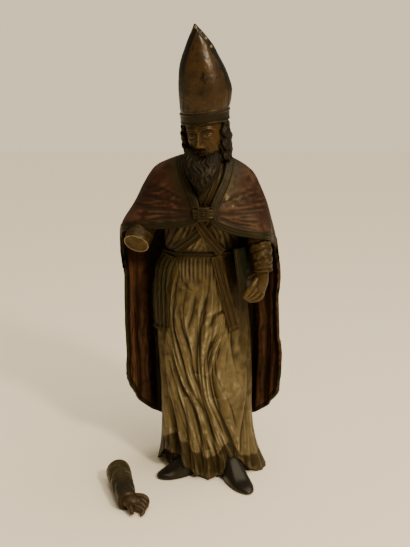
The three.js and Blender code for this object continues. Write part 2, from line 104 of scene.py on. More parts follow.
# The cope's front edges, from the neck to the hem: share of the way, x and height
LEFT_EDGE = [
    [0, -34, 548],
    [0.12, -25, 515],
    [0.2, -9, 474],
    [0.27, -12, 448],
    [0.36, -44, 440],
    [0.46, -88, 436],
    [0.53, -121, 430],
    [0.6, -137, 400],
    [0.72, -139, 320],
    [0.86, -139, 240],
    [1, -137, 166],
]
RIGHT_EDGE = [
    [0, 34, 548],
    [0.12, 26, 515],
    [0.2, 8, 474],
    [0.27, 11, 446],
    [0.36, 38, 431],
    [0.46, 74, 422],
    [0.53, 101, 414],
    [0.6, 119, 392],
    [0.72, 127, 316],
    [0.86, 131, 236],
    [1, 126, 168],
]

# The mitre above its lower edge: share of the rise, half width, half depth, how far it leans to one side
MITRE = [
    [0, 36.5, 37, 0],
    [0.11, 37.5, 37, 1],
    [0.22, 39.5, 36, 3.5],
    [0.32, 40.5, 34.5, 5],
    [0.42, 38.5, 32.5, 4.5],
    [0.55, 34.5, 29, 3],
    [0.68, 27.5, 24.5, 2],
    [0.8, 19.5, 20, 2.5],
    [0.91, 10, 15.5, 1.5],
    [1, 0.8, 12, 0],
]

# The head below the mitre: height, half width, depth in front, depth behind
HEAD = [
    [-60, 24, 14, 30],
    [-48, 22, 20, 29],
    [-42, 19, 29, 28],
    [-34, 23, 33, 30],
    [-22, 27, 34.5, 33],
    [-8, 29.5, 35.5, 35],
    [4, 30.5, 36, 36],
    [14, 31, 36, 36],
    [30, 31, 35, 36],
]

# The beard: share of its length, half width, thickness
BEARD = [
    [0, 23, 13],
    [0.2, 26, 18],
    [0.45, 24, 18],
    [0.75, 15, 14],
    [1, 3, 5],
]

# Folds of the alb: depth, half width, which side is steep, and where the valley runs, as heights and x
FOLDS = [
    (7, 4.5, 1, [
        (392, -48), (330, -64), (270, -70), (190, -70), (135, -62), (100, -57), (60, -49), (30, -46),
    ]),
    (5, 3.5, 1, [(322, -50), (300, -43), (268, -37), (240, -28), (200, -22), (165, -13), (145, -8)]),
    (6, 4, 1, [(312, -60), (295, -57), (262, -51), (225, -41), (180, -30), (150, -16), (128, -3)]),
    (7, 4.5, 1, [(280, -62), (235, -56), (200, -50), (170, -40), (145, -26), (110, -14), (80, -8), (20, -5)]),
    (3.5, 3, -1, [(336, -14), (310, -18), (292, -21), (270, -28)]),
    (8, 4, 1, [
        (366, 10), (330, 5), (300, -1), (265, -8), (235, -13), (195, -13), (160, -7), (130, 1), (100, 9),
        (20, 24),
    ]),
    (3.6, 4.5, -1, [(305, 21), (290, 15), (278, 9), (266, 2)]),
    (2, 3.6, -1, [(304, 31), (292, 22)]),
    (4.5, 3.2, 1, [(268, 24), (250, 14), (225, 5), (205, 4), (186, 1)]),
    (7, 4, 1, [(262, 30), (240, 12), (200, 12), (170, 15), (140, 22), (105, 31), (75, 42), (40, 52)]),
    (3.5, 3, 1, [(250, 26), (225, 21), (205, 19), (188, 18)]),
    (6, 4, 1, [(90, -3), (62, 4), (46, 9), (20, 17)]),
    (3, 5, 1, [(66, 26), (50, 34), (30, 46)]),
    (3.5, 3.2, 1, [(150, 8), (125, 15), (100, 24), (80, 33)]),
    (7, 5, -1, [(392, 46), (330, 66), (270, 74), (200, 74), (150, 72), (110, 69), (70, 64), (20, 62)]),
    (1.8, 4, 1, [(372, -43), (358, -40), (346, -34), (336, -24), (330, -14)]),
    (4, 4, 1, [(120, -36), (90, -32), (60, -28), (20, -24)]),
    (9, 5, -1, [(150, -60), (110, -57), (75, -53), (45, -49), (20, -47)]),
    (3, 3.4, 1, [(200, -36), (170, -24), (140, -10), (110, -2)]),
    (3, 3.4, 1, [(330, 34), (290, 40), (240, 46), (205, 50)]),
    (4, 4, -1, [(110, 84), (60, 92), (20, 99)]),
]

# The run of the cloth between its folds: x at each height
FLOW = [
    [0, -75, -42, -10, 7, 28, 42, 57, 64, 88],
    [40, -75, -44, -12, 5, 24, 38, 53, 66, 88],
    [90, -74, -51, -19, -2, 9, 25, 41, 70, 84],
    [150, -76, -59, -31, -15, -4, 6, 21, 73, 82],
    [210, -80, -66, -49, -35, -12, 4, 14, 76, 82],
    [270, -80, -69, -60, -50, -8, 24, 34, 74, 80],
    [330, -82, -64, -56, -44, 4, 30, 41, 66, 76],
    [400, -70, -48, -40, -30, -4, 18, 34, 46, 62],
]

# Folds of the cope drawn from the clasp over each arm: x and height where they start and where they end
DRAWN = {
    "left": [(-24, 480), (-120, 512), (-24, 458), (-124, 447)],
    "right": [(20, 478), (106, 500), (22, 455), (110, 427)],
    "count": 10,
}
KNEE = {"x": 44, "z": 168, "out": 10, "r": 30}

# Patches of lost paint, as x, y, z and how wide, on the cope and in the mitre's own frame
COPE_LOSSES = [(35, -62, 487, 4.6), (27, -70, 474, 2), (44, -66, 473, 2.4), (22, -70, 500, 2)]
MITRE_LOSSES = [
    (0, -15, 155, 3), (14, -17, 138, 2.6), (21, -20, 126, 3), (25, -22, 118, 2.4), (8, -16, 147, 2),
]

# Soft forms of the face: how far out, place and half width sideways, place and half width in height
FACE_FORMS = {
    "nose_wings": (3.6, 5.7, 2.3, -17.6, 3.0),
    "nostrils": (-1.6, 3.1, 1.3, -20.6, 1.2),
    "sockets": (-4.8, 11.6, 7.6, 1.8, 5.2),
    "cheekbones": (2.6, 18.5, 6.5, -10, 6),
    "hollow_cheeks": (-1.4, 17, 5, -21, 5),
    "groove_over_lip": (-0.8, 0, 1.5, -23.6, 1.8),
    "upper_lip": (2.6, 0, 7.5, -26.9, 1.4),
    "lower_lip": (3.1, 0, 6.5, -30.4, 1.7),
    "chin": (2.2, 0, 9, -39, 4),
}
EYE_OUT, EYE_HALF = 12.3, 5.6

# The nose: height, how far out, half width
NOSE = [
    [-24, 0, 6],
    [-21, 2.2, 5.4],
    [-18.5, 8.6, 4.8],
    [-15.5, 10.8, 4.4],
    [-10, 8.4, 3.6],
    [-3, 5, 3.1],
    [3, 2.8, 3.2],
    [9, 1.2, 4.6],
    [16, 0, 6],
]


def srgb(red, green, blue):
    """A paint colour from its values out of 255."""
    channels = [v / 255 for v in (red, green, blue)]
    return tuple(v / 12.92 if v <= 0.04045 else ((v + 0.055) / 1.055) ** 2.4 for v in channels) + (1.0,)


def ease(low, high, value):
    """From nought at one value to one at another, smoothly, and level past both."""
    share = np.clip((np.asarray(value, float) - low) / (high - low), 0, 1)
    return share * share * (3 - 2 * share)


def bump(value, at, wide):
    """One at a place, and fading to nought on both sides of it."""
    return np.exp(-(((value - at) / wide) ** 2))


def valley(value, wide, steep=0):
    """A carved valley with softly raised lips, gentle on one side when the other is steep."""
    side = np.where(value * steep > 0, 0.75, 1.9 if steep else 1.0) * wide
    cut = np.exp(-np.abs(value / side) ** 1.5)
    return 0.36 * (bump(value, 2.1 * wide, 1.2 * wide) + bump(value, -2.1 * wide, 1.2 * wide)) - cut


def mix(low, high, share):
    """The value at a share of the way from one to another."""
    return low + (high - low) * share


def unit(vectors):
    """Vectors made one long."""
    return vectors / np.linalg.norm(vectors, axis=-1, keepdims=True)


def stacked(*values):
    """Points from the values of their x, y and z."""
    return np.stack(np.broadcast_arrays(*values), -1)


def lifted(x, y, z, out, by):
    """Points moved off a surface, the way it faces on the level."""
    return stacked(x + out[..., 0] * by, y + out[..., 1] * by, z)


def full_turn(count):
    """Angles once round, evenly shared."""
    return np.linspace(0, 2 * math.pi, count, endpoint=False)


def along_and_round(rows, columns):
    """The share of the way along and the angle round, for the grid of a tube."""
    return np.meshgrid(np.linspace(0, 1, rows), full_turn(columns), indexing="ij")


def placing(at, turns):
    """The matrix of a frame, from its place and its turns in degrees."""
    place = Matrix.Translation(at)
    for axis, angle in turns.items():
        place = place @ Matrix.Rotation(angle * DEGREE, 4, axis)
    return np.array(place)


def carried(points, place):
    """Points of a frame in their place."""
    return np.asarray(points, float) @ place[:3, :3].T + place[:3, 3]


def along(rows, key):
    """The values of a table at a key, on a smooth curve through its rows."""
    rows = np.asarray(rows, float)
    keys, values = rows[:, 0], rows[:, 1:]
    key = np.clip(np.asarray(key, float), keys[0], keys[-1])
    i = np.clip(np.searchsorted(keys, key, side="right") - 1, 0, len(keys) - 2)
    low = np.maximum(np.arange(len(keys)) - 1, 0)
    high = np.minimum(np.arange(len(keys)) + 1, len(keys) - 1)
    slope = (values[high] - values[low]) / (keys[high] - keys[low])[:, None]
    step = (keys[i + 1] - keys[i])[..., None]
    t = (key - keys[i])[..., None] / step
    start, rise = values[i], values[i + 1] - values[i]
    leave, arrive = slope[i] * step, slope[i + 1] * step
    out = start + t * (leave + t * (3 * rise - 2 * leave - arrive + t * (leave + arrive - 2 * rise)))
    return np.moveaxis(out, -1, 0)


# Large numbers that set the random values of neighbouring cells and seeds far apart
SCATTER, SEED_STEP = np.array([73856093, 19349663, 83492791]), 2654435


def noise(points, size, seed):
    """Smooth random values from -1 to 1 that change over a distance of size."""
    place = np.asarray(points, float) / size + 37.7 * (seed + 1)
    cell = np.floor(place).astype(np.int64)
    part = place - cell
    part = part * part * (3 - 2 * part)
    total = np.zeros(place.shape[:-1])
    for corner in range(8):
        step = np.array([corner & 1, corner >> 1 & 1, corner >> 2 & 1])
        code = np.bitwise_xor.reduce((cell + step) * SCATTER, -1) ^ (seed * SEED_STEP)
        code = ((code & 0xFFFFFFFF) * 1103515245 + 12345) & 0xFFFFFFFF
        value = ((code ^ (code >> 15)) & 0xFFFF) / 32767.5 - 1
        weight = np.where(step, part, 1 - part).prod(-1)
        total += value * weight
    return total


# Meshes
def add_object(name, data):
    """A new object in the scene."""
    made = bpy.data.objects.new(name, data)
    bpy.context.scene.collection.objects.link(made)
    return made


def shade_smooth(mesh, sharp=None):
    """Smooth shading, with edges kept sharp past an angle in degrees where one is given."""
    mesh.polygons.foreach_set("use_smooth", [True] * len(mesh.polygons))
    if sharp is not None:
        mesh.set_sharp_from_angle(angle=sharp * DEGREE)


def mesh_object(name, points, faces, sharp=None):
    """A mesh from points in millimetres and sets of faces, turned so that its faces point outwards."""
    volume = 0.0
    for face in faces:
        for k in range(1, face.shape[1] - 1):
            a, b, c = points[face[:, 0]], points[face[:, k]], points[face[:, k + 1]]
            volume += np.einsum("ij,ij->", a, np.cross(b, c))
    rows = []
    for face in faces:
        rows += (face if volume > 0 else face[:, ::-1]).tolist()
    mesh = bpy.data.meshes.new(name)
    mesh.from_pydata((points * MM).tolist(), [], rows)
    shade_smooth(mesh, sharp)
    mesh.update()
    return add_object(name, mesh)


def grid_faces(rows, columns, wrap=False):
    """Quads of a grid, and of a ring when it wraps."""
    last = columns if wrap else columns - 1
    r, c = np.meshgrid(np.arange(rows - 1), np.arange(last), indexing="ij")
    r, c = r.ravel(), c.ravel()
    n = (c + 1) % columns
    return np.stack([r * columns + c, r * columns + n, (r + 1) * columns + n, (r + 1) * columns + c], 1)


def shell_faces(rows, columns):
    """One skin's quads, its rim, and the quads of two such skins with a wall between their rims."""
    skin, size = grid_faces(rows, columns), rows * columns
    rim = np.concatenate([
        np.arange(columns),
        np.arange(1, rows) * columns + columns - 1,
        (rows - 1) * columns + np.arange(columns - 2, -1, -1),
        np.arange(rows - 2, 0, -1) * columns,
    ])
    following = np.roll(rim, -1)
    wall = np.stack([rim, rim + size, following + size, following], 1)
    return skin, rim, np.concatenate([skin, skin[:, ::-1] + size, wall])


def closed_loft(grid):
    """Points and faces of a ring-by-ring grid, closed by a fan at each end."""
    rows, columns = grid.shape[:2]
    points = np.concatenate([grid.reshape(-1, 3), grid[0].mean(0)[None], grid[-1].mean(0)[None]])
    c = np.arange(columns)
    n = (c + 1) % columns
    low = np.stack([n, c, np.full(columns, rows * columns)], 1)
    top = (rows - 1) * columns
    high = np.stack([top + c, top + n, np.full(columns, rows * columns + 1)], 1)
    return points, [grid_faces(rows, columns, True), low, high]


def joined_parts(parts):
    """Several sets of points and faces as one set."""
    points, faces, start = [], {}, 0
    for part_points, part_faces in parts:
        for face in part_faces:
            faces.setdefault(face.shape[1], []).append(face + start)
        points.append(part_points)
        start += len(part_points)
    return np.concatenate(points), [np.concatenate(f) for f in faces.values()]


def smooth_path(points, count):
    """Evenly shared points on a smooth curve through a few."""
    points = np.asarray(points, float)
    keys = np.linspace(0, 1, len(points))
    return along(np.column_stack([keys, points]), np.linspace(0, 1, count)).T


def graded(values, count):
    """Evenly shared values on a smooth curve through a few."""
    return smooth_path(np.array(values, float)[:, None], count)[:, 0]


def tube(path, radii, sides, flat=1.0):
    """A closed tube with round ends along a path."""
    count = 4 * len(path)
    line, radius = smooth_path(path, count), graded(radii, count)
    way = unit(np.gradient(line, axis=0))
    off_axis = [0.13, 0.31, 0.94]
    side = unit(np.cross(way, off_axis))
    third = np.cross(way, side)

    def cap(end, outwards, slopes):
        return [
            (line[end] + outwards * way[end] * radius[end] * math.sin(a), radius[end] * math.cos(a), end)
            for a in slopes
        ]
    slopes = np.array([80, 55, 28]) * DEGREE
    middle = [(line[k], radius[k], k) for k in range(count)]
    rings = cap(0, -1, slopes) + middle + cap(-1, 1, slopes[::-1])
    turn = full_turn(sides)
    grid = [
        at + r * (np.cos(turn)[:, None] * side[k] + flat * np.sin(turn)[:, None] * third[k])
        for at, r, k in rings
    ]
    return closed_loft(np.array(grid))


def unit_ball(widest, rings, around):
    """Points of a ball of radius one, from a latitude in the south to the same one in the north."""
    lat, lon = np.linspace(-widest, widest, rings) * DEGREE, full_turn(around)
    across = np.cos(lat)[:, None]
    return stacked(across * np.cos(lon), across * np.sin(lon), np.sin(lat)[:, None])


def ellipsoid(at, radii, turn=(0, 0, 0), around=28, rings=18):
    """Points and faces of a ball with three radii, turned by degrees."""
    spin = np.array(Euler([a * DEGREE for a in turn]).to_matrix())
    return closed_loft((unit_ball(86, rings, around) * np.array(radii)) @ spin.T + np.array(at))


def broken_end(edge, inwards, table, coarse, small):
    """Rings over a broken end: share of the edge and depth of each, with splinters of two sizes."""
    middle = edge.mean(0)
    rings = []
    for share, sink in table:
        ring = middle + (edge - middle) * share + inwards * sink
        rough = coarse * noise(ring, 5, 7) + small * noise(ring, 2.4, 8)
        rings.append(ring + inwards * rough[:, None] * (share < 0.95))
    return np.array(rings)


def plain(obj):
    """The object's evaluated mesh as its only mesh, with no modifiers left."""
    shape = obj.evaluated_get(bpy.context.evaluated_depsgraph_get())
    mesh = bpy.data.meshes.new_from_object(shape)
    name = obj.name
    bpy.data.objects.remove(obj)
    mesh.name = name
    return add_object(name, mesh)


def melted(obj, voxel, passes):
    """The object's parts run together into one carved skin."""
    melt = obj.modifiers.new("melt", "REMESH")
    melt.mode = "VOXEL"
    melt.voxel_size = voxel * MM
    made = plain(obj)
    shade_smooth(made.data)
    soften(made, passes)
    return made


def fused(name, parts, voxel, passes):
    """Parts as one carved piece."""
    return melted(mesh_object(name, *joined_parts(parts)), voxel, passes)


def read_vectors(mesh, kind):
    """Three numbers of each point of a mesh, such as its place or its normal."""
    flat = np.empty(len(mesh.vertices) * 3)
    mesh.vertices.foreach_get(kind, flat)
    return flat.reshape(-1, 3)


def read_points(mesh):
    """The points of a mesh in millimetres."""
    return read_vectors(mesh, "co") / MM


def write_points(mesh, points):
    """Moves the points of a mesh to places in millimetres."""
    mesh.vertices.foreach_set("co", (np.asarray(points) * MM).ravel())
    mesh.update()


def neighbours(mesh):
    """The two points of each edge."""
    pairs = np.empty(len(mesh.edges) * 2, np.int64)
    mesh.edges.foreach_get("vertices", pairs)
    return pairs.reshape(-1, 2)


def relaxed(points, pairs, passes):
    """Points after each has moved towards the middle of its neighbours a number of times."""
    count = len(points)
    first, second = pairs.T
    degree = np.bincount(pairs.ravel(), minlength=count)[:, None].clip(1)
    for _ in range(passes):
        total = np.stack([
            np.bincount(first, points[second, k], count) + np.bincount(second, points[first, k], count)
            for k in range(3)
        ], 1)
        points = 0.5 * (points + total / degree)
    return points


def soften(obj, passes):
    """Evens out a mesh, each point moved towards its neighbours a number of times."""
    mesh = obj.data
    write_points(mesh, relaxed(read_points(mesh), neighbours(mesh), passes))


def give(obj, *materials, kinds=None):
    """The object's materials, and which of them each face has."""
    obj.data.materials.clear()
    for material in materials:
        obj.data.materials.append(material)
    if kinds is not None:
        obj.data.polygons.foreach_set("material_index", np.asarray(kinds, int))


def float_attribute(obj, name, values):
    """Stores a number at each point of a mesh."""
    made = obj.data.attributes.new(name, "FLOAT", "POINT")
    made.data.foreach_set("value", np.asarray(values, float))


def mark_relief(obj, fine, broad, fine_height=0.25, broad_height=1.3, grain=None):
    """Stores how far each point stands proud of its surroundings, from 1 to -1, and where the brush ran."""
    mesh = obj.data
    points, pairs, normals = read_points(mesh), neighbours(mesh), read_vectors(mesh, "normal")
    grain = points * UPRIGHT_GRAIN if grain is None else grain
    made = mesh.attributes.new("grain", "FLOAT_VECTOR", "POINT")
    made.data.foreach_set("vector", (grain * MM).ravel())
    near = relaxed(points, pairs, fine)
    far = relaxed(near, pairs, broad)
    small = ((points - near) * normals).sum(1) / fine_height
    large = ((near - far) * normals).sum(1) / broad_height
    float_attribute(obj, "relief", np.clip(0.5 * small + large, -1, 1))


def carved(obj, *materials, kinds=None, **relief):
    """The object with its materials and its relief."""
    give(obj, *materials, kinds=kinds)
    mark_relief(obj, **relief)
    return obj


def mark_losses(obj, spots):
    """Stores where paint is lost: places in millimetres and how wide."""
    points = read_points(obj.data)
    lost = np.zeros(len(points))
    for x, y, z, wide in spots:
        away = np.linalg.norm((points - np.array([x, y, z])) * (1, 0.3, 1), axis=1)
        lost = np.maximum(lost, np.exp(-((away / wide) ** 2)))
    ragged = noise(points, 2.4, 5) * 0.5 + noise(points, 5.5, 6) * 0.4
    float_attribute(obj, "loss", np.clip(lost + ragged * (lost > 0.05) * lost * 1.6, 0, 1))


# Shader nodes
def put(tree, kind, values=None, **settings):
    """A node with its settings and inputs. An input that is a socket is joined, and anything else is set."""
    made = tree.nodes.new(kind)
    for key, value in settings.items():
        setattr(made, key, value)
    for key, value in (values or {}).items():
        if isinstance(value, bpy.types.NodeSocket):
            tree.links.new(value, made.inputs[key])
        else:
            made.inputs[key].default_value = value
    return made


def calc(tree, operation, first, second=0.0, limit=False):
    """The result of a sum with two values, kept from nought to one when limited."""
    return put(tree, "ShaderNodeMath", {0: first, 1: second}, operation=operation, use_clamp=limit).outputs[0]


def plus(tree, first, second, limit=False):
    """Two values added."""
    return calc(tree, "ADD", first, second, limit)


def times(tree, first, second, limit=False):
    """Two values multiplied."""
    return calc(tree, "MULTIPLY", first, second, limit)


def swing(tree, pattern, amount):
    """A pattern about a half, made to run about nought by an amount."""
    return times(tree, calc(tree, "SUBTRACT", pattern, 0.5), amount)


def span(tree, value, low, high, to_low=0.0, to_high=1.0):
    """A value taken smoothly from one range to another."""
    values = {0: value, 1: low, 2: high, 3: to_low, 4: to_high}
    return put(tree, "ShaderNodeMapRange", values, interpolation_type="SMOOTHSTEP").outputs[0]


def stored(tree, name, kind="Fac"):
    """What a mesh has stored under a name."""
    return put(tree, "ShaderNodeAttribute", attribute_name=name).outputs[kind]


def layer(tree, share, under, over, how="MIX"):
    """A colour laid over another one by a share."""
    values = {0: share, 6: under, 7: over}
    return put(tree, "ShaderNodeMix", values, data_type="RGBA", blend_type=how).outputs[2]


def specks(tree, place, scale, detail=3.0):
    """An irregular pattern about a half."""
    return put(tree, "ShaderNodeTexNoise", {"Vector": place, "Scale": scale, "Detail": detail}).outputs["Fac"]


def new_group(name, inputs):
    """A shader group with colours and numbers as its inputs, and their sockets."""
    group = bpy.data.node_groups.new(name, "ShaderNodeTree")
    for label, value in inputs.items():
        kind = "NodeSocketColor" if isinstance(value, tuple) else "NodeSocketFloat"
        group.interface.new_socket(name=label, in_out="INPUT", socket_type=kind).default_value = value
    return group, group.nodes.new("NodeGroupInput").outputs


def finish_group(group, colour, rough, height):
    """Gives a shader group the three outputs that a material reads."""
    results = {"Color": colour, "Roughness": rough, "Height": height}
    for label in results:
        kind = "NodeSocketColor" if label == "Color" else "NodeSocketFloat"
        group.interface.new_socket(name=label, in_out="OUTPUT", socket_type=kind)
    put(group, "NodeGroupOutput", results)
    return group


def build_old_paint():
    """Old paint on carved wood: glaze and painted shade in the hollows, a second colour that is in places
    painted shade, wear on the ridges, streaks, dirt and losses.
    """
    group, given = new_group("old_paint", {
        "Paint": (0.5, 0.5, 0.5, 1),
        "Glaze": (0.1, 0.1, 0.1, 1),
        "Bare": (0.5, 0.4, 0.3, 1),
        "Lost": (0.6, 0.5, 0.35, 1),
        "Second Paint And Shade": (0.1, 0.1, 0.1, 1),
        "Hollow Glaze And Shade": 0.8,
        "Wear": 0.3,
        "Mottle": 0.3,
        "Streaks": 0.3,
        "Dirt": 0.3,
        "Dullness": 0.45,
    })
    place = put(group, "ShaderNodeTexCoord").outputs["Object"]
    relief, loss, second = [stored(group, name) for name in ("relief", "loss", "second")]
    broad = specks(group, place, 26.0, 4.0)
    patches = specks(group, place, 75.0, 5.0)
    fine = specks(group, place, 420.0, 5.0)
    streak = specks(group, stored(group, "grain", "Vector"), 460.0, 4.0)

    # The second colour, where a mesh stores it: a second paint in some places, painted shade in others.
    other = span(group, plus(group, second, swing(group, patches, 0.8)), 0.1, 0.8)
    base = layer(group, other, given["Paint"], given["Second Paint And Shade"])
    tone = plus(group, times(group, swing(group, broad, given["Mottle"]), 2.6), 1.0)
    tone = plus(group, tone, times(group, swing(group, streak, given["Streaks"]), 2.2))
    colour = layer(group, 1.0, base, tone, "MULTIPLY")

    # Darker in the hollows of the carving: partly old glaze and dirt, partly painted shade in folds and
    # recesses.
    hollow = plus(group, span(group, relief, 0.12, -0.6), swing(group, fine, 0.3))
    hollow = times(group, hollow, given["Hollow Glaze And Shade"], True)
    grime = times(group, span(group, patches, 0.48, 0.72), given["Dirt"])
    covered = calc(group, "MAXIMUM", hollow, grime, True)
    colour = layer(group, covered, colour, given["Glaze"])

    ridge = times(group, span(group, relief, 0.12, 0.62), span(group, patches, 0.36, 0.6))
    ridge = times(group, ridge, calc(group, "SUBTRACT", 1.0, times(group, other, 0.8)))
    ridge = times(group, ridge, given["Wear"], True)
    colour = layer(group, ridge, colour, given["Bare"])
    chips = span(group, plus(group, loss, times(group, fine, 0.3)), 0.46, 0.7, 0.0, 0.85)
    colour = layer(group, chips, colour, given["Lost"])

    rough = plus(group, given["Dullness"], swing(group, patches, 0.5))
    rough = plus(group, rough, times(group, covered, 0.14))
    rough = plus(group, rough, times(group, chips, 0.3), True)
    height = plus(group, times(group, streak, 0.7), times(group, fine, 0.3))
    height = calc(group, "SUBTRACT", height, times(group, chips, 0.9))
    return finish_group(group, colour, rough, height)


def build_broken_wood():
    """The end grain of a broken limb: rings round a centre, grit and dirt."""
    group, given = new_group("broken_wood", {
        "Pale": (0.4, 0.3, 0.2, 1),
        "Dark": (0.2, 0.13, 0.08, 1),
        "Ring Scale": 300.0,
    })
    place = put(group, "ShaderNodeTexCoord").outputs["Object"]
    wobble = specks(group, place, 90.0)
    grit = specks(group, place, 700.0, 6.0)
    away = plus(group, stored(group, "ring"), times(group, wobble, 0.009))
    rings = calc(group, "SINE", times(group, times(group, away, given["Ring Scale"]), 6.28))
    share = plus(group, times(group, rings, 0.16), plus(group, grit, swing(group, wobble, 2.2)), True)
    colour = layer(group, share, given["Dark"], given["Pale"])
    rough = span(group, grit, 0.2, 0.8, 0.6, 0.9)
    return finish_group(group, colour, rough, plus(group, grit, times(group, rings, 0.15)))


OLD_PAINT = build_old_paint()
BROKEN_WOOD = build_broken_wood()
GESSO = (176, 158, 122)
COAT_DULLNESS = 0.28
SHINE, SHINE_TINT = 0.2, srgb(255, 230, 188)


def finish_of(name, group, values, coat=0.0, bump_strength=0.35, bump_distance=0.0005):
    """A material whose colour, dullness and fine height come from a shared group."""
    material = bpy.data.materials.new(name)
    material.use_nodes = True
    tree = material.node_tree
    tree.nodes.clear()
    source = put(tree, "ShaderNodeGroup", node_tree=group)
    for key, value in values.items():
        source.inputs[key].default_value = value
    relief = put(tree, "ShaderNodeBump", {
        "Height": source.outputs["Height"],
        "Strength": bump_strength,
        "Distance": bump_distance,
    })
    shader = put(tree, "ShaderNodeBsdfPrincipled", {
        "Base Color": source.outputs["Color"],
        "Roughness": source.outputs["Roughness"],
        "Normal": relief.outputs["Normal"],
        "Coat Weight": coat,
        "Coat Roughness": COAT_DULLNESS,
        "Specular IOR Level": SHINE,
        "Specular Tint": SHINE_TINT,
    })
    put(tree, "ShaderNodeOutputMaterial", {"Surface": shader.outputs["BSDF"]})
    return material


def painted(name, paint, glaze, bare, lost=GESSO, second=None, coat=0.0, **values):
    """Old paint of one or two colours over its wood, the second colour in places painted shade, and how
    strongly each mark of age and the painted shade in the hollows show.
    """
    colours = {"Paint": paint, "Glaze": glaze, "Bare": bare, "Lost": lost, "Second Paint And Shade": second or paint}
    settings = {label: srgb(*colour) for label, colour in colours.items()}
    labels = {
        "hollow": "Hollow Glaze And Shade",
        "wear": "Wear",
        "mottle": "Mottle",
        "streaks": "Streaks",
        "dirt": "Dirt",
        "dull": "Dullness",
    }
    settings.update({labels[key]: value for key, value in values.items()})
    return finish_of(name, OLD_PAINT, settings, coat=coat)


# The alb's second colour is its real dark hem band and, on the flanks and upper skirt, painted shade.
CREAM = painted("cream_robe", (91, 78, 49), (27, 21, 11), (150, 138, 108), second=(43, 33, 11),
                hollow=0.9, wear=0.75, mottle=0.3, streaks=0.5, dirt=0.35, dull=0.48)
COPE_RED = painted("red_cope", (41, 21, 13), (17, 11, 6), (82, 56, 38), lost=(110, 96, 72),
                   second=(32, 25, 11), hollow=0.8, wear=0.5, mottle=0.45, streaks=0.35, dirt=0.6, dull=0.48)
COPE_BORDER = painted("cope_border", (21, 17, 6), (9, 7, 3), (47, 37, 18),
                      hollow=0.8, wear=0.35, mottle=0.35, streaks=0.3, dirt=0.4, dull=0.5)
# The lining's second colour is painted shade, darkest far round inside the cope.
LINING = painted("orange_lining", (78, 49, 31), (22, 14, 8), (112, 78, 50), second=(15, 11, 6),
                 hollow=0.8, wear=0.35, mottle=0.4, streaks=0.5, dirt=0.5, dull=0.5)
STOLE_RED = painted("stole_red", (46, 34, 16), (17, 12, 6), (84, 66, 35),
                    hollow=0.75, wear=0.4, mottle=0.3, streaks=0.4, dirt=0.4, dull=0.45)
STOLE_OLIVE = painted("stole_olive", (35, 30, 13), (12, 10, 5), (68, 60, 30),
                      hollow=0.8, wear=0.35, mottle=0.3, streaks=0.45, dirt=0.4, dull=0.45)
MITRE_BROWN = painted("mitre_brown", (58, 40, 19), (14, 10, 5), (104, 80, 44), lost=(116, 104, 78),
                      second=(20, 16, 7), hollow=0.7, wear=0.25, mottle=0.5, streaks=0.3, dirt=0.6, dull=0.33,
                      coat=0.22)
MITRE_BORDER = painted("mitre_border", (15, 11, 3), (7, 5, 2), (48, 37, 18), lost=(124, 110, 78),
                       hollow=0.75, wear=0.4, mottle=0.35, streaks=0.2, dirt=0.4, dull=0.43, coat=0.08)
CLASP_BROWN = painted("clasp_brown", (34, 27, 12), (13, 10, 5), (74, 59, 32),
                      hollow=0.85, wear=0.5, mottle=0.3, streaks=0.2, dirt=0.4, dull=0.45)
FLESH = painted("flesh", (56, 39, 13), (18, 12, 4), (100, 75, 34),
                hollow=0.85, wear=0.3, mottle=0.25, streaks=0.1, dirt=0.3, dull=0.42, coat=0.06)
HAND_SKIN = painted("hand_skin", (56, 41, 15), (20, 13, 4), (100, 78, 38),
                    hollow=0.85, wear=0.35, mottle=0.25, streaks=0.1, dirt=0.3, dull=0.38, coat=0.1)
HAIR = painted("dark_hair", (11, 9, 4), (4, 3, 2), (31, 25, 14),
               hollow=0.8, wear=0.3, mottle=0.3, streaks=0.3, dirt=0.25, dull=0.54)
SHOE = painted("black_shoe", (22, 20, 15), (9, 8, 6), (46, 40, 28),
               hollow=0.5, wear=0.2, mottle=0.3, streaks=0.1, dirt=0.25, dull=0.32, coat=0.2)
BOOK_COVER = painted("book_cover", (16, 17, 11), (6, 7, 4), (40, 40, 26),
                     hollow=0.6, wear=0.35, mottle=0.3, streaks=0.15, dirt=0.25, dull=0.42)
PAGES = painted("book_pages", (44, 38, 24), (18, 15, 8), (74, 66, 42), hollow=0.7, streaks=0.6, dull=0.6)
BELT_DARK = painted("belt_cord", (28, 21, 10), (11, 8, 4), (54, 41, 22), hollow=0.8, wear=0.25, dull=0.55)
SLEEVE_WORN = painted("worn_sleeve", (40, 29, 10), (13, 9, 3), (90, 70, 36),
                      hollow=0.9, wear=0.45, mottle=0.45, streaks=0.3, dirt=0.5, dull=0.44)
LOOSE_SLEEVE = painted("loose_sleeve", (52, 44, 26), (19, 14, 8), (98, 82, 52), second=(33, 28, 19),
                       hollow=0.85, wear=0.45, mottle=0.4, streaks=0.3, dirt=0.4, dull=0.42)
LOOSE_SKIN = painted("loose_skin", (45, 31, 20), (18, 11, 6), (84, 63, 38),
                     hollow=0.85, wear=0.35, mottle=0.3, streaks=0.1, dirt=0.35, dull=0.4)
GESSO_RIM = painted("gesso_rim", (112, 99, 72), (58, 48, 32), (140, 126, 98), hollow=0.5, dull=0.6)
BREAK = finish_of("broken_end", BROKEN_WOOD, {
    "Pale": srgb(86, 69, 38),
    "Dark": srgb(42, 32, 17),
    "Ring Scale": 340.0,
}, bump_strength=0.6, bump_distance=0.0012)


# Geometry Nodes
def new_tree(name, sizes):
    """A node tree for shapes, with sizes and a finish as its inputs, and their sockets."""
    tree = bpy.data.node_groups.new(name, "GeometryNodeTree")
    for label, kind in {"Geometry": "Geometry", **sizes, "Finish": "Material"}.items():
        tree.interface.new_socket(name=label, in_out="INPUT", socket_type="NodeSocket" + kind)
    tree.interface.new_socket(name="Geometry", in_out="OUTPUT", socket_type="NodeSocketGeometry")
    return tree, tree.nodes.new("NodeGroupInput").outputs


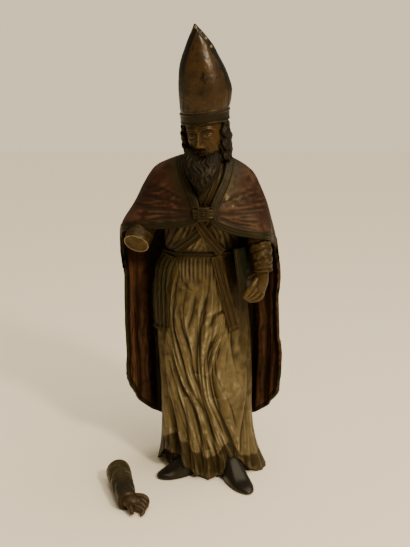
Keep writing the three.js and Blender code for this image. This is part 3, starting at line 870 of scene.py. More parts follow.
def finish_tree(tree, given, shape):
    """Ends a tree with one real, smooth shape in its finish."""
    real = put(tree, "GeometryNodeRealizeInstances", {"Geometry": shape}).outputs[0]
    smooth = put(tree, "GeometryNodeSetShadeSmooth", {"Geometry": real}).outputs[0]
    done = put(tree, "GeometryNodeSetMaterial", {"Geometry": smooth, "Material": given["Finish"]}).outputs[0]
    put(tree, "NodeGroupOutput", {"Geometry": done})
    return tree


def swept_tree():
    """Tubes along the lines of a mesh, as thick as each point says."""
    tree, given = new_tree("swept_locks", {"Lock Width": "Float", "Sides": "Int", "Flatness": "Float"})
    lines = put(tree, "GeometryNodeMeshToCurve", {"Mesh": given["Geometry"]}).outputs[0]
    thick = put(tree, "GeometryNodeInputNamedAttribute", {"Name": "thick"}, data_type="FLOAT").outputs[0]
    ring = put(tree, "GeometryNodeCurvePrimitiveCircle", {
        "Resolution": given["Sides"],
        "Radius": given["Lock Width"],
    }).outputs[0]
    squash = put(tree, "ShaderNodeCombineXYZ", {0: 1.0, 1: given["Flatness"], 2: 1.0}).outputs[0]
    ring = put(tree, "GeometryNodeTransform", {"Geometry": ring, "Scale": squash}).outputs[0]
    sweep = put(tree, "GeometryNodeCurveToMesh", {
        "Curve": lines,
        "Profile Curve": ring,
        "Scale": thick,
        "Fill Caps": True,
    }).outputs[0]
    return finish_tree(tree, given, sweep)


def fringe_tree():
    """Threads hung side by side along the lines of a mesh."""
    tree, given = new_tree("hung_fringe", {
        "Spacing": "Float",
        "Thread Length": "Float",
        "Thread Radius": "Float",
        "Seed": "Int",
    })
    lines = put(tree, "GeometryNodeMeshToCurve", {"Mesh": given["Geometry"]}).outputs[0]
    spread = {"Curve": lines, "Length": given["Spacing"]}
    points = put(tree, "GeometryNodeResampleCurve", spread, mode="LENGTH").outputs[0]
    thread = put(tree, "GeometryNodeMeshCone", {
        "Vertices": 6,
        "Radius Top": given["Thread Radius"],
        "Radius Bottom": given["Thread Radius"],
        "Depth": given["Thread Length"],
    }).outputs[0]
    drop = put(tree, "ShaderNodeCombineXYZ", {2: times(tree, given["Thread Length"], -1.0)}).outputs[0]
    thread = put(tree, "GeometryNodeTransform", {"Geometry": thread, "Translation": drop}).outputs[0]
    lengths = {2: 0.8, 3: 1.1, "Seed": given["Seed"]}
    random = put(tree, "FunctionNodeRandomValue", lengths, data_type="FLOAT").outputs[1]
    sizes = put(tree, "ShaderNodeCombineXYZ", {0: 1.0, 1: 1.0, 2: random}).outputs[0]
    hung = put(tree, "GeometryNodeInstanceOnPoints", {
        "Points": points,
        "Instance": thread,
        "Scale": sizes,
    }).outputs[0]
    return finish_tree(tree, given, hung)


SWEPT_LOCKS = swept_tree()
HUNG_FRINGE = fringe_tree()


def grown(name, lines, tree, values, thick=None, voxel=0):
    """A piece that a node tree grows along lines of points in millimetres, melted together when asked."""
    points = np.concatenate(lines)
    starts = np.cumsum([0] + [len(line) for line in lines[:-1]])
    edges = [(s + k, s + k + 1) for s, line in zip(starts, lines) for k in range(len(line) - 1)]
    mesh = bpy.data.meshes.new(name)
    mesh.from_pydata((points * MM).tolist(), edges, [])
    guide = add_object(name, mesh)
    if thick is not None:
        float_attribute(guide, "thick", np.concatenate(thick))
    grow = guide.modifiers.new("grow", "NODES")
    grow.node_group = tree
    for item in tree.interface.items_tree:
        if item.in_out == "INPUT" and item.name in values:
            grow[item.identifier] = values[item.name]
    made = plain(guide)
    if voxel:
        made = melted(made, voxel, 2)
        give(made, values["Finish"])
    return made


def swept(name, lines, thick, width, flat, finish, voxel=0):
    """Round or flattened strands along lines, from their half width in millimetres."""
    values = {"Lock Width": width * MM, "Sides": 8, "Flatness": flat, "Finish": finish}
    return grown(name, lines, SWEPT_LOCKS, values, thick, voxel)


def ride(obj, replaces=("saint_figure",)):
    """What a piece rides on, and the node that it replaces."""
    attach(obj, "root")
    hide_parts(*replaces)


# The alb, from the hem to the neck
def hem_height(angle):
    """The hem lifts over each shoe, and its edge is scalloped."""
    lift = 44 * bump(angle, -56, 34) + 34 * bump(angle, 36, 17)
    return lift + 1.2 * np.abs(np.sin(angle * DEGREE * 22))


def alb_form(angle, z):
    """The plain alb: x and y, which way its skin faces, and how many millimetres a degree is."""
    cx, cy, half, front, back = along(ALB, z)
    s, c = np.sin(angle * DEGREE), np.cos(angle * DEGREE)
    deep = np.where(c > 0, front, back)
    out = unit(np.stack([s / half, -c / deep], -1))
    per_degree = DEGREE * np.hypot(half * c, deep * s)
    return cx + half * s, cy - deep * c, out, per_degree


def fold_relief(angle, z, per_degree):
    """The deep folds of the skirt, which fade at both ends unless they run to the floor."""
    cx, _, half, _, _ = along(ALB, z)
    total = np.zeros_like(angle)
    for deep, wide, steep, line in FOLDS:
        top, foot = line[0][0], line[-1][0]
        x = along([(-height, x) for height, x in line], -z)[0]
        at = np.arcsin(np.clip((x - cx) / half, -0.985, 0.985)) / DEGREE
        share = (top - z) / (top - foot)
        reach = ease(-0.06, 0.4, share) * ease(1.1, 0.62, share)
        if foot < 45:
            reach = np.where(share > 0.5, 0.8, reach)
        away = (angle - at) * per_degree
        total += 0.9 * deep * reach * valley(away, 1.3 * wide * (0.6 + 0.4 * reach), steep)
    return total


def cloth_run(x, z):
    """Where a point lies across the run of the cloth, in strips, and how wide its strip is."""
    guides = along(FLOW, z)
    place, pitch = np.zeros_like(x), np.full_like(x, 12.0)
    for low, high in zip(guides[:-1], guides[1:]):
        place += np.clip((x - low) / (high - low), 0, 1)
        pitch = np.where((x >= low) & (x < high), high - low, pitch)
    return place, pitch


def flow_lines(place, z):
    """Fine carved lines that follow the run of the cloth."""
    broken = noise(stacked(place * 12, z * 0.16, 0), 5, 12)
    return (0.5 + broken) * np.cos(2 * math.pi * (place * 3.5 + 0.3 * broken))


def creases(place, pitch, z):
    """Small folds of different lengths that follow the run of the cloth."""
    random = np.random.default_rng(8)
    total = np.zeros_like(z)
    for _ in range(CREASES):
        at, middle, half = random.uniform(0.2, 7.8), random.uniform(20, 330), random.uniform(28, 85)
        deep, wide, steep = random.uniform(0.5, 1.6), random.uniform(1.2, 2.5), random.choice([-1, 1])
        reach = np.exp(-np.abs((z - middle) / half) ** 3)
        away = (place - at + 0.18 * np.sin((z - middle) / 34)) * pitch
        total += deep * reach * valley(away, wide, steep)
    return total


def alb_relief(angle, z, per_degree, x):
    """How far the carving of the alb stands out."""
    facing = ease(100, 62, np.abs(angle))
    skirt = ease(BELT, BELT - 26, z)
    run = angle * per_degree
    sway = noise(stacked(run, z * 0.5, 0), 24, 2)
    out = skirt * fold_relief(angle, z, per_degree)

    gathers = ease(BELT - 3, BELT - 12, z) * ease(BELT - 50, BELT - 26, z + 8 * sway)
    gathers = gathers * ease(40, 24, np.abs(x + 12))
    uneven = noise(stacked(run, z * 0.12, 0), 9, 16)
    wave = run * 2 * math.pi / GATHER_PITCH + 1.4 * sway + 2.2 * uneven
    out += (0.95 + 0.6 * uneven) * gathers * np.cos(wave)

    place, pitch = cloth_run(x, z)
    calm = 1 - 0.75 * bump(np.hypot(x - KNEE["x"], (z - KNEE["z"] - 2) * 0.7), 0, 26)
    out += 0.42 * skirt * facing * flow_lines(place, z)
    out += skirt * facing * calm * ease(372, 340, z) * creases(place, pitch, z)
    out += facing * KNEE["out"] * bump(x, KNEE["x"], KNEE["r"] * 0.8) * bump(z, KNEE["z"], KNEE["r"])
    swirl = np.hypot(x - KNEE["x"] - 1, (z - KNEE["z"] + 3) * 0.62)
    out += 0.12 * np.cos(swirl * 0.85) * bump(swirl, 14, 16) * facing

    chest = ease(BELT + 2, BELT + 12, z) * facing
    out += 2.5 * ease(BELT, BELT + 13, z) * ease(450, 420, z) * facing
    lean = run + 0.35 * (z - BELT - 3) * np.sign(x + 4)
    crumple = noise(stacked(run, z, 0), 11, 14)
    slant = (lean + 3 * sway + 2.5 * crumple) % CHEST_PITCH - CHEST_PITCH / 2
    out += 1.5 * chest * ease(470, 445, z) * valley(slant, 2.2)
    out += 0.9 * chest * ease(470, 445, z) * crumple

    foot = np.clip(1 - z / 110, 0, 1) ** 2
    out += foot * (17 * bump(angle, 84, 20) + 9 * bump(angle, -112, 18))
    hem = hem_height(angle)
    flute = ease(hem + HEM_BAND + 6, hem + 6, z)
    out += 1.6 * flute * valley((run + 3 * sway) % FLUTE_PITCH - FLUTE_PITCH / 2, 1.7)
    plain_back = ease(96, 120, np.abs(angle))
    out += 2.2 * plain_back * np.cos(angle * DEGREE * 13) * ease(450, 350, z)
    out += 0.5 * sway + 0.16 * noise(stacked(run, z * 0.25, 0), 3.0, 3)
    return out


def build_alb():
    """The robe: one skin from the neck down over the belt to the hem, closed by a recess under the hem."""
    front_columns, back_columns, rows = 321, 80, 215
    side = 105
    front = np.linspace(-side, side, front_columns)
    back = np.linspace(side, 360 - side, back_columns)[1:-1]
    angle = np.concatenate([front, back])
    share = np.linspace(0, 1, rows) ** 1.05
    hem = hem_height(angle)
    z = hem + np.outer(1 - share, ALB_TOP - hem)
    wide = np.broadcast_to(angle, z.shape)
    bent = np.where(wide > 180, wide - 360, wide)
    x, y, out, per_degree = alb_form(bent, z)
    relief = alb_relief(bent, z, per_degree, x)
    grid = lifted(x, y, z, out, relief)
    edge = grid[-1]
    heart, above_floor = np.array([4.0, 2.0]), 0.3
    inwards = unit(heart - edge[:, :2])
    rings = [
        np.column_stack([edge[:, :2] + inwards * inset, edge[:, 2] + rise])
        for inset, rise in ((2.5, 0.0), (4.5, 2.0), (6.5, 6.0), (16.0, 8.0))
    ]
    rings.append(np.column_stack([rings[-1][:, :2], np.full(len(angle), above_floor)]))
    made = mesh_object("alb", *closed_loft(np.concatenate([grid, np.array(rings)])))

    points = read_points(made.data)
    x, y, z = points.T
    cx, cy, _, _, _ = along(ALB, np.clip(z, 0, ALB_TOP))
    facing = np.arctan2(x - cx, -(y - cy)) / DEGREE
    band = HEM_BAND + 7 * bump(facing, 0, 26) + 1.5 * np.sin(facing * DEGREE * 17)
    # Painted shade: the flanks darker, one more than the other, and the skirt darker towards the belt under
    # the cope. The dark hem band below is the alb's real second paint.
    flank = np.where(facing > 0, 0.55, 0.4) * ease(36, 66, np.abs(facing)) * ease(40, 200, z)
    shade_top_and_flanks = 0.5 * ease(190, 380, z) + flank
    float_attribute(made, "second", np.maximum(shade_top_and_flanks, ease(5, -5, z - hem_height(facing) - band)))
    collar = np.array([p.center[2] for p in made.data.polygons]) > COLLAR_FROM * MM
    give(made, CREAM, STOLE_OLIVE, kinds=collar)
    place, _ = cloth_run(x, z)
    on_skirt = (np.abs(facing) < 80) & (z < BELT)
    grain = np.where(on_skirt[:, None], stacked(place * 12, y * 0.3, z * 0.1), points * UPRIGHT_GRAIN)
    mark_relief(made, fine=4, broad=50, fine_height=0.5, broad_height=3.6, grain=grain)
    return made


# The cope
def cloak_round(angle, z):
    """The plain cope's x and y, the sine and cosine of the angle, and which way it faces on the level."""
    left, right, front, back = along(CLOAK, z)
    s, c = np.sin(angle * DEGREE), np.cos(angle * DEGREE)
    half, deep = np.where(s < 0, left, right), np.where(c > 0, front, back)
    return half * s, -deep * c, s, c, unit(np.stack([s / half, -c / deep], -1))


def cloak_form(angle, z):
    """The cope before its folds, fuller over each arm."""
    x, y, _, _, out = cloak_round(angle, z)
    over_arm = 20 * bump(angle, -56, 22) * bump(z, 442, 34) + 12 * bump(angle, 47, 17) * bump(z, 425, 28)
    return lifted(x, y, z, out, over_arm)


def cloak_normals(angle, z):
    """Which way the cope's surface faces."""
    _, _, s, c, out = cloak_round(angle, z)
    reach = 3
    below, above = along(CLOAK, z - reach), along(CLOAK, z + reach)
    sideways = np.where(s < 0, below[0] - above[0], below[1] - above[1]) / (2 * reach)
    lengthwise = np.where(c > 0, below[2] - above[2], below[3] - above[3]) / (2 * reach)
    rise = np.clip(mix(lengthwise, sideways, s**2), -0.5, 2.5)
    return unit(np.concatenate([out, rise[..., None]], -1))


def cloak_way(side, down):
    """The angle and height of each point, from one front edge round the back to the other."""
    left_x, left_z = along(LEFT_EDGE, down)
    right_x, right_z = along(RIGHT_EDGE, down)
    x, z = np.where(side < 0, left_x, right_x), np.where(side < 0, left_z, right_z)
    left, right, _, _ = along(CLOAK, z)
    lean = np.arcsin(np.clip(x / np.where(side < 0, left, right), -1, 1)) / DEGREE
    sign = np.where(side < 0, -1, 1)
    start = lean + ease(0.52, 0.7, down) * 8 * sign
    angle = mix(start, 180 * sign, 1 - np.abs(side))
    first = np.maximum(np.abs(start), OVER_ARM)
    fall = 1 - (1 - np.clip((np.abs(angle) - first) / (180 - first), 0, 1)) ** 2.3
    return angle, mix(z, mix(CLOAK_NECK, CLOAK_BACK_HEM, down), fall)


def cloak_relief(side, down, angle, base):
    """Folds drawn from the clasp over each arm, and folds hanging down the back."""
    x, z = base[..., 0], base[..., 2]
    ahead = ease(-10, -34, base[..., 1]) * ease(0.75, 0.5, down)
    wander = noise(base, 30, 8)
    out = np.zeros_like(x)
    random = np.random.default_rng(12)
    for arm in ("left", "right"):
        (from_x, top_from), (to_x, top_to), (_, low_from), (_, low_to) = DRAWN[arm]
        share = (x - from_x) / (to_x - from_x)
        for k in range(DRAWN["count"]):
            place = (k + random.uniform(-0.25, 0.25)) / (DRAWN["count"] - 1)
            height = mix(mix(top_from, low_from, place), mix(top_to, low_to, place), share)
            height += 3 * np.sin(share * 3.1 + random.uniform(-0.6, 0.6)) * (0.5 - place)
            stop, deep = random.uniform(0.7, 1.05), random.uniform(1.0, 1.9)
            reach = ease(-0.1, 0.25, share) * ease(stop, stop - 0.35, share) * ahead
            out += deep * reach * valley(z - height - 1.8 * wander, 1.9, -1)
    hanging = ease(0.35, 0.8, down)
    calm = ease(0.0, 0.28, 1 - np.abs(side))
    round_by = (180 - np.abs(angle)) / 92
    out += 3.5 * hanging * calm * np.cos(round_by * math.pi * 9)
    out += 0.5 * hanging * np.cos(round_by * math.pi * 31 + 3 * wander)
    out += 0.6 * wander + 0.15 * noise(base, 6, 9)
    return out


def from_edges(base):
    """How far each point of the cope is from its nearest edge, and from its nearest front edge."""
    def nearest(line):
        line = smooth_path(line, 260)
        groups = np.array_split(base.reshape(-1, 3), 60)
        away = [np.linalg.norm(group[:, None] - line, axis=2).min(1) for group in groups]
        return np.concatenate(away).reshape(base.shape[:2])
    front = np.minimum(nearest(base[::3, 0]), nearest(base[::3, -1]))
    return np.minimum(front, nearest(base[-1, ::3])), front


def build_cope():
    """The cope: an outer skin, an inner one and their rims."""
    columns, rows = 281, 150
    even = np.linspace(-1, 1, columns)
    side = np.sign(even) * (1 - (1 - np.abs(even)) ** 1.35)
    side, down = np.meshgrid(side, np.linspace(0, 1, rows))
    angle, z = cloak_way(side, down)
    base = cloak_form(angle, z)
    normals = cloak_normals(angle, z)
    border, edge = from_edges(base)
    relief = cloak_relief(side, down, angle, base) * mix(0.45, 1, ease(2, BORDER_WIDE + 6, edge))
    raised = 0.9 * ease(BORDER_WIDE + 0.6, BORDER_WIDE - 0.6, border)
    beads = sum(0.4 * bump(border, at, 1.0) for at in (2.2, BORDER_WIDE / 2, BORDER_WIDE - 1.6))
    outer = base + normals * (relief + raised + beads)[..., None]
    inner = base + normals * (relief * 0.9 - CLOAK_THICK)[..., None]
    middle = 0.5 * (outer + inner)
    thick = mix(0.55, 1, ease(0, 2.5, border))[..., None]
    skins = [(middle + (skin - middle) * thick).reshape(-1, 3) for skin in (outer, inner)]
    quads, rim, faces = shell_faces(rows, columns)
    made = mesh_object("cope", np.concatenate(skins), [faces])

    near = border.reshape(-1)[quads].mean(1)
    worn_right = ((side > 0.6) & (down > 0.55) & (down < 0.95)).reshape(-1)
    worn_quads = worn_right[quads[:, 0]]
    red, strip, lining = range(3)
    kinds = np.concatenate([
        np.where((near < BORDER_WIDE) & ~worn_quads, strip, red),
        np.where(near < np.where(worn_quads, LINING_EDGE + 3, LINING_EDGE), strip, lining),
        np.where(worn_right[rim], red, strip),
    ])
    give(made, COPE_RED, COPE_BORDER, LINING, kinds=kinds)
    collar = 0.75 * ease(46, 14, edge) * ease(440, 500, base[..., 2])
    # Painted shade: the lining darker the further round inside the cope it lies.
    depth = 0.9 * ease(114, 144, np.abs(angle))
    float_attribute(made, "second", np.concatenate([collar.ravel(), depth.ravel()]))
    mark_relief(made, fine=4, broad=30, fine_height=0.3)
    mark_losses(made, COPE_LOSSES)
    return made


# The head
HEAD_PLACE = placing(HEAD_AT, HEAD_TURN)


def on_head(points):
    """Points of the head's own frame in their place."""
    return carried(points, HEAD_PLACE)


def eye_opening(across):
    """Heights of the upper and lower lids' edges."""
    bend = (across - EYE_OUT) ** 2
    return 0.3 - 0.045 * bend, -1.7 + 0.025 * bend


def open_eye(across, z):
    """How far inside the eye's opening a point lies, negative outside."""
    upper, lower = eye_opening(across)
    return np.minimum(np.minimum(upper - z, z - lower), EYE_HALF - np.abs(across - EYE_OUT))


def face_relief(x, z):
    """Calm, even features that stand out of the plain head."""
    across = np.abs(x)
    nose, wide = along(NOSE, z)
    total = nose * np.exp(-np.abs(x / wide) ** 2.1)
    for out, at, half, height, tall in FACE_FORMS.values():
        total += out * bump(across, at, half) * bump(z, height, tall)
    brow = 8.6 - 0.012 * (across - 12) ** 2
    total += 3.4 * bump(z, brow, 3.0) * ease(27, 19, across) * ease(1, 5, across)
    ball = np.clip(1 - ((across - EYE_OUT) / 9.6) ** 2 - ((z + 0.1) / 6.2) ** 2, 0, 1)
    total += 3.4 * ball**1.6
    upper, _ = eye_opening(across)
    total += 0.55 * ease(0.1, 0.65, ball) * ease(0.3, -0.3, open_eye(across, z))
    total -= 0.3 * ease(7.4, 5.0, np.abs(across - EYE_OUT)) * bump(z, upper + 2.4, 0.8)
    total -= 0.9 * bump(across, 10 - 0.35 * (z + 20), 1.5) * bump(z, -21, 4)
    total -= 1.3 * ease(9.5, 7, across) * bump(z, -28.5, 0.55)
    return total


def face_finish():
    """Flesh with painted lips, brows and eyes."""
    material = FLESH.copy()
    material.name = "painted_face"
    tree = material.node_tree
    shader = next(node for node in tree.nodes if node.type == "BSDF_PRINCIPLED")
    colour = shader.inputs["Base Color"].links[0].from_socket
    soft_edge = -0.15, 0.2
    tints = {
        "lips": (60, 38, 16),
        "brow": (34, 24, 13),
        "white": (84, 70, 44),
        "iris": (26, 18, 11),
        "lash": (34, 22, 14),
        "scalp": (22, 17, 11),
    }
    for key, tint in tints.items():
        colour = layer(tree, span(tree, stored(tree, key), *soft_edge), colour, srgb(*tint))
    tree.links.new(colour, shader.inputs["Base Color"])
    return material


def build_head():
    """The head and its face, and how far inside each painted patch of the face a point lies."""
    face = np.linspace(-50, 50, 151)
    front = np.concatenate([np.linspace(-90, -50, 24)[:-1], face, np.linspace(50, 90, 24)[1:]])
    angle = np.concatenate([front, np.linspace(90, 270, 40)[1:-1]])
    levels = np.concatenate([np.linspace(-60, -40, 12)[:-1], np.linspace(-40, 22, 125), [26]])
    wide, z = np.meshgrid(angle, levels)
    half, ahead, behind = along(HEAD, z)
    s, c = np.sin(wide * DEGREE), np.cos(wide * DEGREE)
    out = np.where(c > 0, face_relief(half * s, z) * ease(0, 0.4, c), 0)
    local = stacked(half * s, np.where(c > 0, -ahead * c - out, -behind * c), z)
    made = mesh_object("head", *closed_loft(on_head(local)))

    x, y, z = closed_loft(local)[0].T
    across = np.abs(x)
    far = 9
    in_front = np.where(y < -12, 0, -far)
    white = open_eye(across, z)
    upper, _ = eye_opening(across)
    brow = 9.4 - 0.02 * (across - 11) ** 2
    masks = {
        "iris": np.minimum(2.2 - np.hypot(across - 12.1, z + 0.3), white),
        "lash": np.minimum(0.42 - np.abs(z - upper - 0.1), 6.0 - np.abs(across - EYE_OUT)),
        "white": white,
        "brow": np.minimum(1.5 * ease(24, 10, across) - np.abs(z - brow), across - 3.4),
        "lips": 3 * (1 - np.hypot(x / 8.2, (z + 28.6) / 3.3)),
        "scalp": np.where((y > -4) | (z < -38), far, -far) - in_front,
    }
    for key, inside in masks.items():
        float_attribute(made, key, np.clip(inside + in_front, -far, far))
    give(made, face_finish())
    # The broad reach lets the glaze of the hollows paint shade into the eye sockets.
    mark_relief(made, fine=3, broad=70, fine_height=0.16, broad_height=1.0)
    return made


BEARD_TOP = on_head((-3, -22, -27))
BEARD_TIP = np.array([-4.0, -66.0, 496.0])


def beard_point(turn, share, lift):
    """A point on the beard's skin."""
    half, thick = along(BEARD, share)
    at = BEARD_TOP + (BEARD_TIP - BEARD_TOP) * np.asarray(share)[..., None]
    return stacked(
        at[..., 0] + (half + lift) * np.sin(turn),
        at[..., 1] - (thick + lift) * np.cos(turn),
        at[..., 2] + (4 - 13 * np.cos(turn) * np.abs(np.cos(turn))) * (1 - share) ** 1.5,
    )


def build_beard():
    """The grooved core under the locks of the beard."""
    share, turn = along_and_round(70, 150)
    groove = np.cos(turn * 22 + 5 * np.sin(share * 9 + turn)) * ease(0, 0.15, share)
    made = mesh_object("beard", *closed_loft(beard_point(turn, share, 0.5 * groove + 1.7)))
    return carved(made, HAIR, fine=3, broad=20, fine_height=0.15, broad_height=0.6)


def build_beard_locks():
    """Wavy locks from the cheeks and lips down to the point of the beard, and the moustache."""
    random = np.random.default_rng(11)
    lines, thick = [], []
    layers = ((0.02, 15, 0.5, 0.2), (0.2, 14, 0.5, 0.5), (0.38, 12, 0.46, 0.7), (0.58, 9, 0.42, 0.6))
    for top, count, length, lift in layers:
        for k in range(count):
            turn = mix(-1.75, 1.75, (k + 0.5) / count) + random.uniform(-0.05, 0.05)
            start = top + random.uniform(-0.03, 0.03)
            stop = min(1.04, start + length * random.uniform(0.85, 1.12))
            s, t = np.linspace(start, stop, 16), np.linspace(0, 1, 16)
            curl = 2.3 * s + 0.35 * math.sin(2.5 * turn) + random.uniform(0, 0.35)
            bent = turn * (1 - 0.3 * t) + 0.17 * np.sin(2 * math.pi * curl)
            path = beard_point(bent, np.clip(s, 0, 1), lift + 1.2 * np.sin(math.pi * t))
            path[:, 2] -= np.clip(s - 1, 0, 1) * 60
            lines.append(path)
            taper = np.sin(math.pi * np.clip(0.12 + 0.88 * t, 0, 1) ** 0.8) ** 0.6
            thick.append(taper * random.uniform(0.8, 1.15))
    t = np.linspace(0, 1, 14)
    for side in (-1, 1):
        for k in range(3):
            x = side * (1.2 + (13 + 2.5 * k) * t)
            y = -38.6 + 0.3 * k + 6.5 * t**2
            z = -23.4 + 0.7 * k - (15 - 3 * k) * t**1.5 + 0.5 * np.sin(t * 7 + k)
            lines.append(on_head(stacked(x, y, z)))
            thick.append((np.sin(math.pi * (0.1 + 0.88 * t)) ** 0.7) * 0.72)
    made = swept("beard_locks", lines, thick, 2.8, 0.75, HAIR, voxel=0.75)
    mark_relief(made, fine=3, broad=14, fine_height=0.2, broad_height=0.7)
    return made


def build_hair():
    """Wavy locks that fall from under the mitre to the collar, thickest beside the face."""
    random = np.random.default_rng(5)
    lines, thick = [], []
    inner_turns = [66, 72, 79, 86, 281]
    turns = np.concatenate([np.linspace(70, 290, 30), np.repeat([76, 83, 284, 277], 2), inner_turns])
    t = np.linspace(0, 1, 22)
    for k, turn in enumerate(turns):
        beside = abs(abs((turn + 180) % 360 - 180) - 80) < 16
        stop = random.uniform(-54, -46) if turn < 180 else random.uniform(-48, -38)
        inner = k >= len(turns) - len(inner_turns)
        spread = 29.5 if inner else 34.5 + (2.5 if beside else 0) + 1.2 * (k % 2)
        radius = spread * mix(1, 0.86 if beside else 0.98, t**1.5) - 3.5 * bump(t, 0, 0.25)
        phase = random.uniform(0, 6.28)
        swerve = 3.4 if beside else 2.0
        a = turn * DEGREE + swerve / 34 * np.sin(t * 21 + phase)
        r = radius + swerve * 0.7 * np.cos(t * 21 + phase)
        lines.append(on_head(stacked(r * np.sin(a), -r * np.cos(a) * 1.02, mix(19, stop, t))))
        taper = (0.55 + 0.45 * np.sin(math.pi * t)) * ease(1.02, 0.86, t)
        thick.append(taper * random.uniform(0.85, 1.15))
    made = swept("hair_locks", lines, thick, 4.0, 0.8, HAIR, voxel=0.9)
    mark_relief(made, fine=3, broad=14, fine_height=0.25, broad_height=0.9)
    return made


# The mitre
MITRE_PLACE = HEAD_PLACE @ np.array(Matrix.Rotation(MITRE_TURN * DEGREE, 4, "Z"))


def on_mitre(points):
    """Points of the mitre's own frame in their place."""
    return carried(points, MITRE_PLACE)


def mitre_border(share, half, turn):
    """How wide the border up the mitre's edges is, and how far each point is from its edge."""
    return mix(4.5, 8.5, ease(0.12, 0.45, share)), half * (1 - np.abs(np.sin(turn)))


def mitre_grid():
    """The mitre before its cleft is cut, with a raised band round the foot and a border up both edges."""
    share = np.concatenate([np.linspace(0, 0.16, 38)[:-1], np.linspace(0.16, 1, 138)])
    turn, share = np.meshgrid(full_turn(270), share)
    half, deep, lean = along(MITRE, share)
    height = share * MITRE_RISE
    strip, from_edge = mitre_border(share, half, turn)
    above = ease(0.135, 0.155, share)
    out = 1.4 * ease(17.2, 16.2, height) * ease(-0.5, 0.8, height)
    out += 0.9 * bump(height, 15.6, 1.1) + 0.7 * bump(height, 2.0, 1.2) + 0.5 * bump(height, 19.3, 0.8)
    out += above * 0.7 * ease(strip + 0.8, strip - 0.8, from_edge)
    out += above * 0.6 * bump(from_edge, strip - 0.6, 0.8)
    spot = stacked(np.cos(turn) * 40, np.sin(turn) * 40, height)
    out += 0.35 * noise(spot, 16, 21) + 0.12 * noise(spot, 4, 22)
    return stacked(lean + (half + out) * np.sin(turn), -(deep + out) * np.cos(turn), MITRE_FOOT + height)


def build_mitre():
    """The mitre with a cleft between its two horns."""
    made = mesh_object("mitre", *closed_loft(on_mitre(mitre_grid())))
    corners = []
    for at in (CLEFT_FROM, 1.1):
        gap = mix(0.4, CLEFT_GAP, (at - CLEFT_FROM) / (1 - CLEFT_FROM))
        z = MITRE_FOOT + at * MITRE_RISE
        corners += [(-60, -gap, z), (60, -gap, z), (60, gap, z), (-60, gap, z)]
    box = np.array([[0, 1, 2, 3], [7, 6, 5, 4], [0, 4, 5, 1], [1, 5, 6, 2], [2, 6, 7, 3], [3, 7, 4, 0]])
    wedge = mesh_object("cleft", on_mitre(corners), [box])
    cleft = made.modifiers.new("cleft", "BOOLEAN")
    cleft.operation = "DIFFERENCE"
    cleft.solver = "EXACT"
    cleft.object = wedge
    made = plain(made)
    bpy.data.objects.remove(wedge)
    shade_smooth(made.data, sharp=38)

    back_to_mitre = np.linalg.inv(MITRE_PLACE)
    centres = np.array([p.center for p in made.data.polygons]) / MM
    foot_band = carried(centres, back_to_mitre)[:, 2] - MITRE_FOOT < 17
    x, y, z = carried(read_points(made.data), back_to_mitre).T
    share = (z - MITRE_FOOT) / MITRE_RISE
    half, deep, lean = along(MITRE, share)
    turn = np.arctan2((x - lean) / half, np.abs(y) / deep)
    strip, from_edge = mitre_border(share, half, turn)
    float_attribute(made, "second", np.maximum(0.34, ease(strip + 0.9, strip - 0.3, from_edge)))
    give(made, MITRE_BROWN, MITRE_BORDER, kinds=foot_band)
    mark_relief(made, fine=3, broad=16, fine_height=0.2, broad_height=0.9)
    mark_losses(made, [(*on_mitre(spot[:3]), spot[3]) for spot in MITRE_LOSSES])
    return made


def build_ornament():
    """A small carved flower with pointed leaves on the front of the mitre."""
    share, leaves = 0.47, 8
    _, deep, lean = along(MITRE, share)
    height = MITRE_FOOT + share * MITRE_RISE
    parts = []
    for k in range(leaves):
        a = k * 2 * math.pi / leaves
        reach, wide = (8.5, 2.3) if k in (0, 4) else (5.6, 2.0) if k % 2 == 0 else (4.4, 1.4)
        for s in (0.4, 0.7, 1.0):
            at = on_mitre((lean + reach * s * math.sin(a), -deep - 0.3, height + reach * s * math.cos(a)))
            size = wide * (1.2 - 0.55 * s)
            parts.append(ellipsoid(at, (size, 1.7, size), around=14, rings=9))
    parts.append(ellipsoid(on_mitre((lean, -deep - 0.8, height)), (2.5, 2.5, 2.5), around=16, rings=10))
    made = fused("mitre_flower", parts, 0.5, 2)
    return carved(made, MITRE_BORDER, fine=3, broad=8, fine_height=0.15, broad_height=0.4)


# Stole, belt and clasp
def band_grid(path, half, lift, thick, samples, across, folds):
    """A band laid on the alb along a path of x and height, with folds down its length."""
    line = smooth_path([(x, 0, z) for x, z in path], samples)
    way = unit(np.gradient(line[:, [0, 2]], axis=0))
    u = np.linspace(-1, 1, across)
    x = line[:, 0, None] - u * half * way[:, 1, None]
    z = line[:, 2, None] + u * half * way[:, 0, None]
    cx, _, wide, _, _ = along(ALB, z)
    angle = np.degrees(np.arcsin(np.clip((x - cx) / wide, -0.995, 0.995)))
    x, y, out, _ = alb_form(angle, z)
    down = np.linspace(0, 1, samples)[:, None]
    deep = 0.13 * half
    rise = deep * np.cos(math.pi * folds * (u + 0.18 * np.sin(5 * down + 1)) + 0.8) * ease(0, 0.12, down)
    rise = rise + 0.3 * deep * np.cos(math.pi * folds * 2.7 * u + 4 * down)
    top, low = lifted(x, y, z, out, lift + rise), lifted(x, y, z, out, lift - thick)
    return np.concatenate([top, low[:, ::-1]], 1)


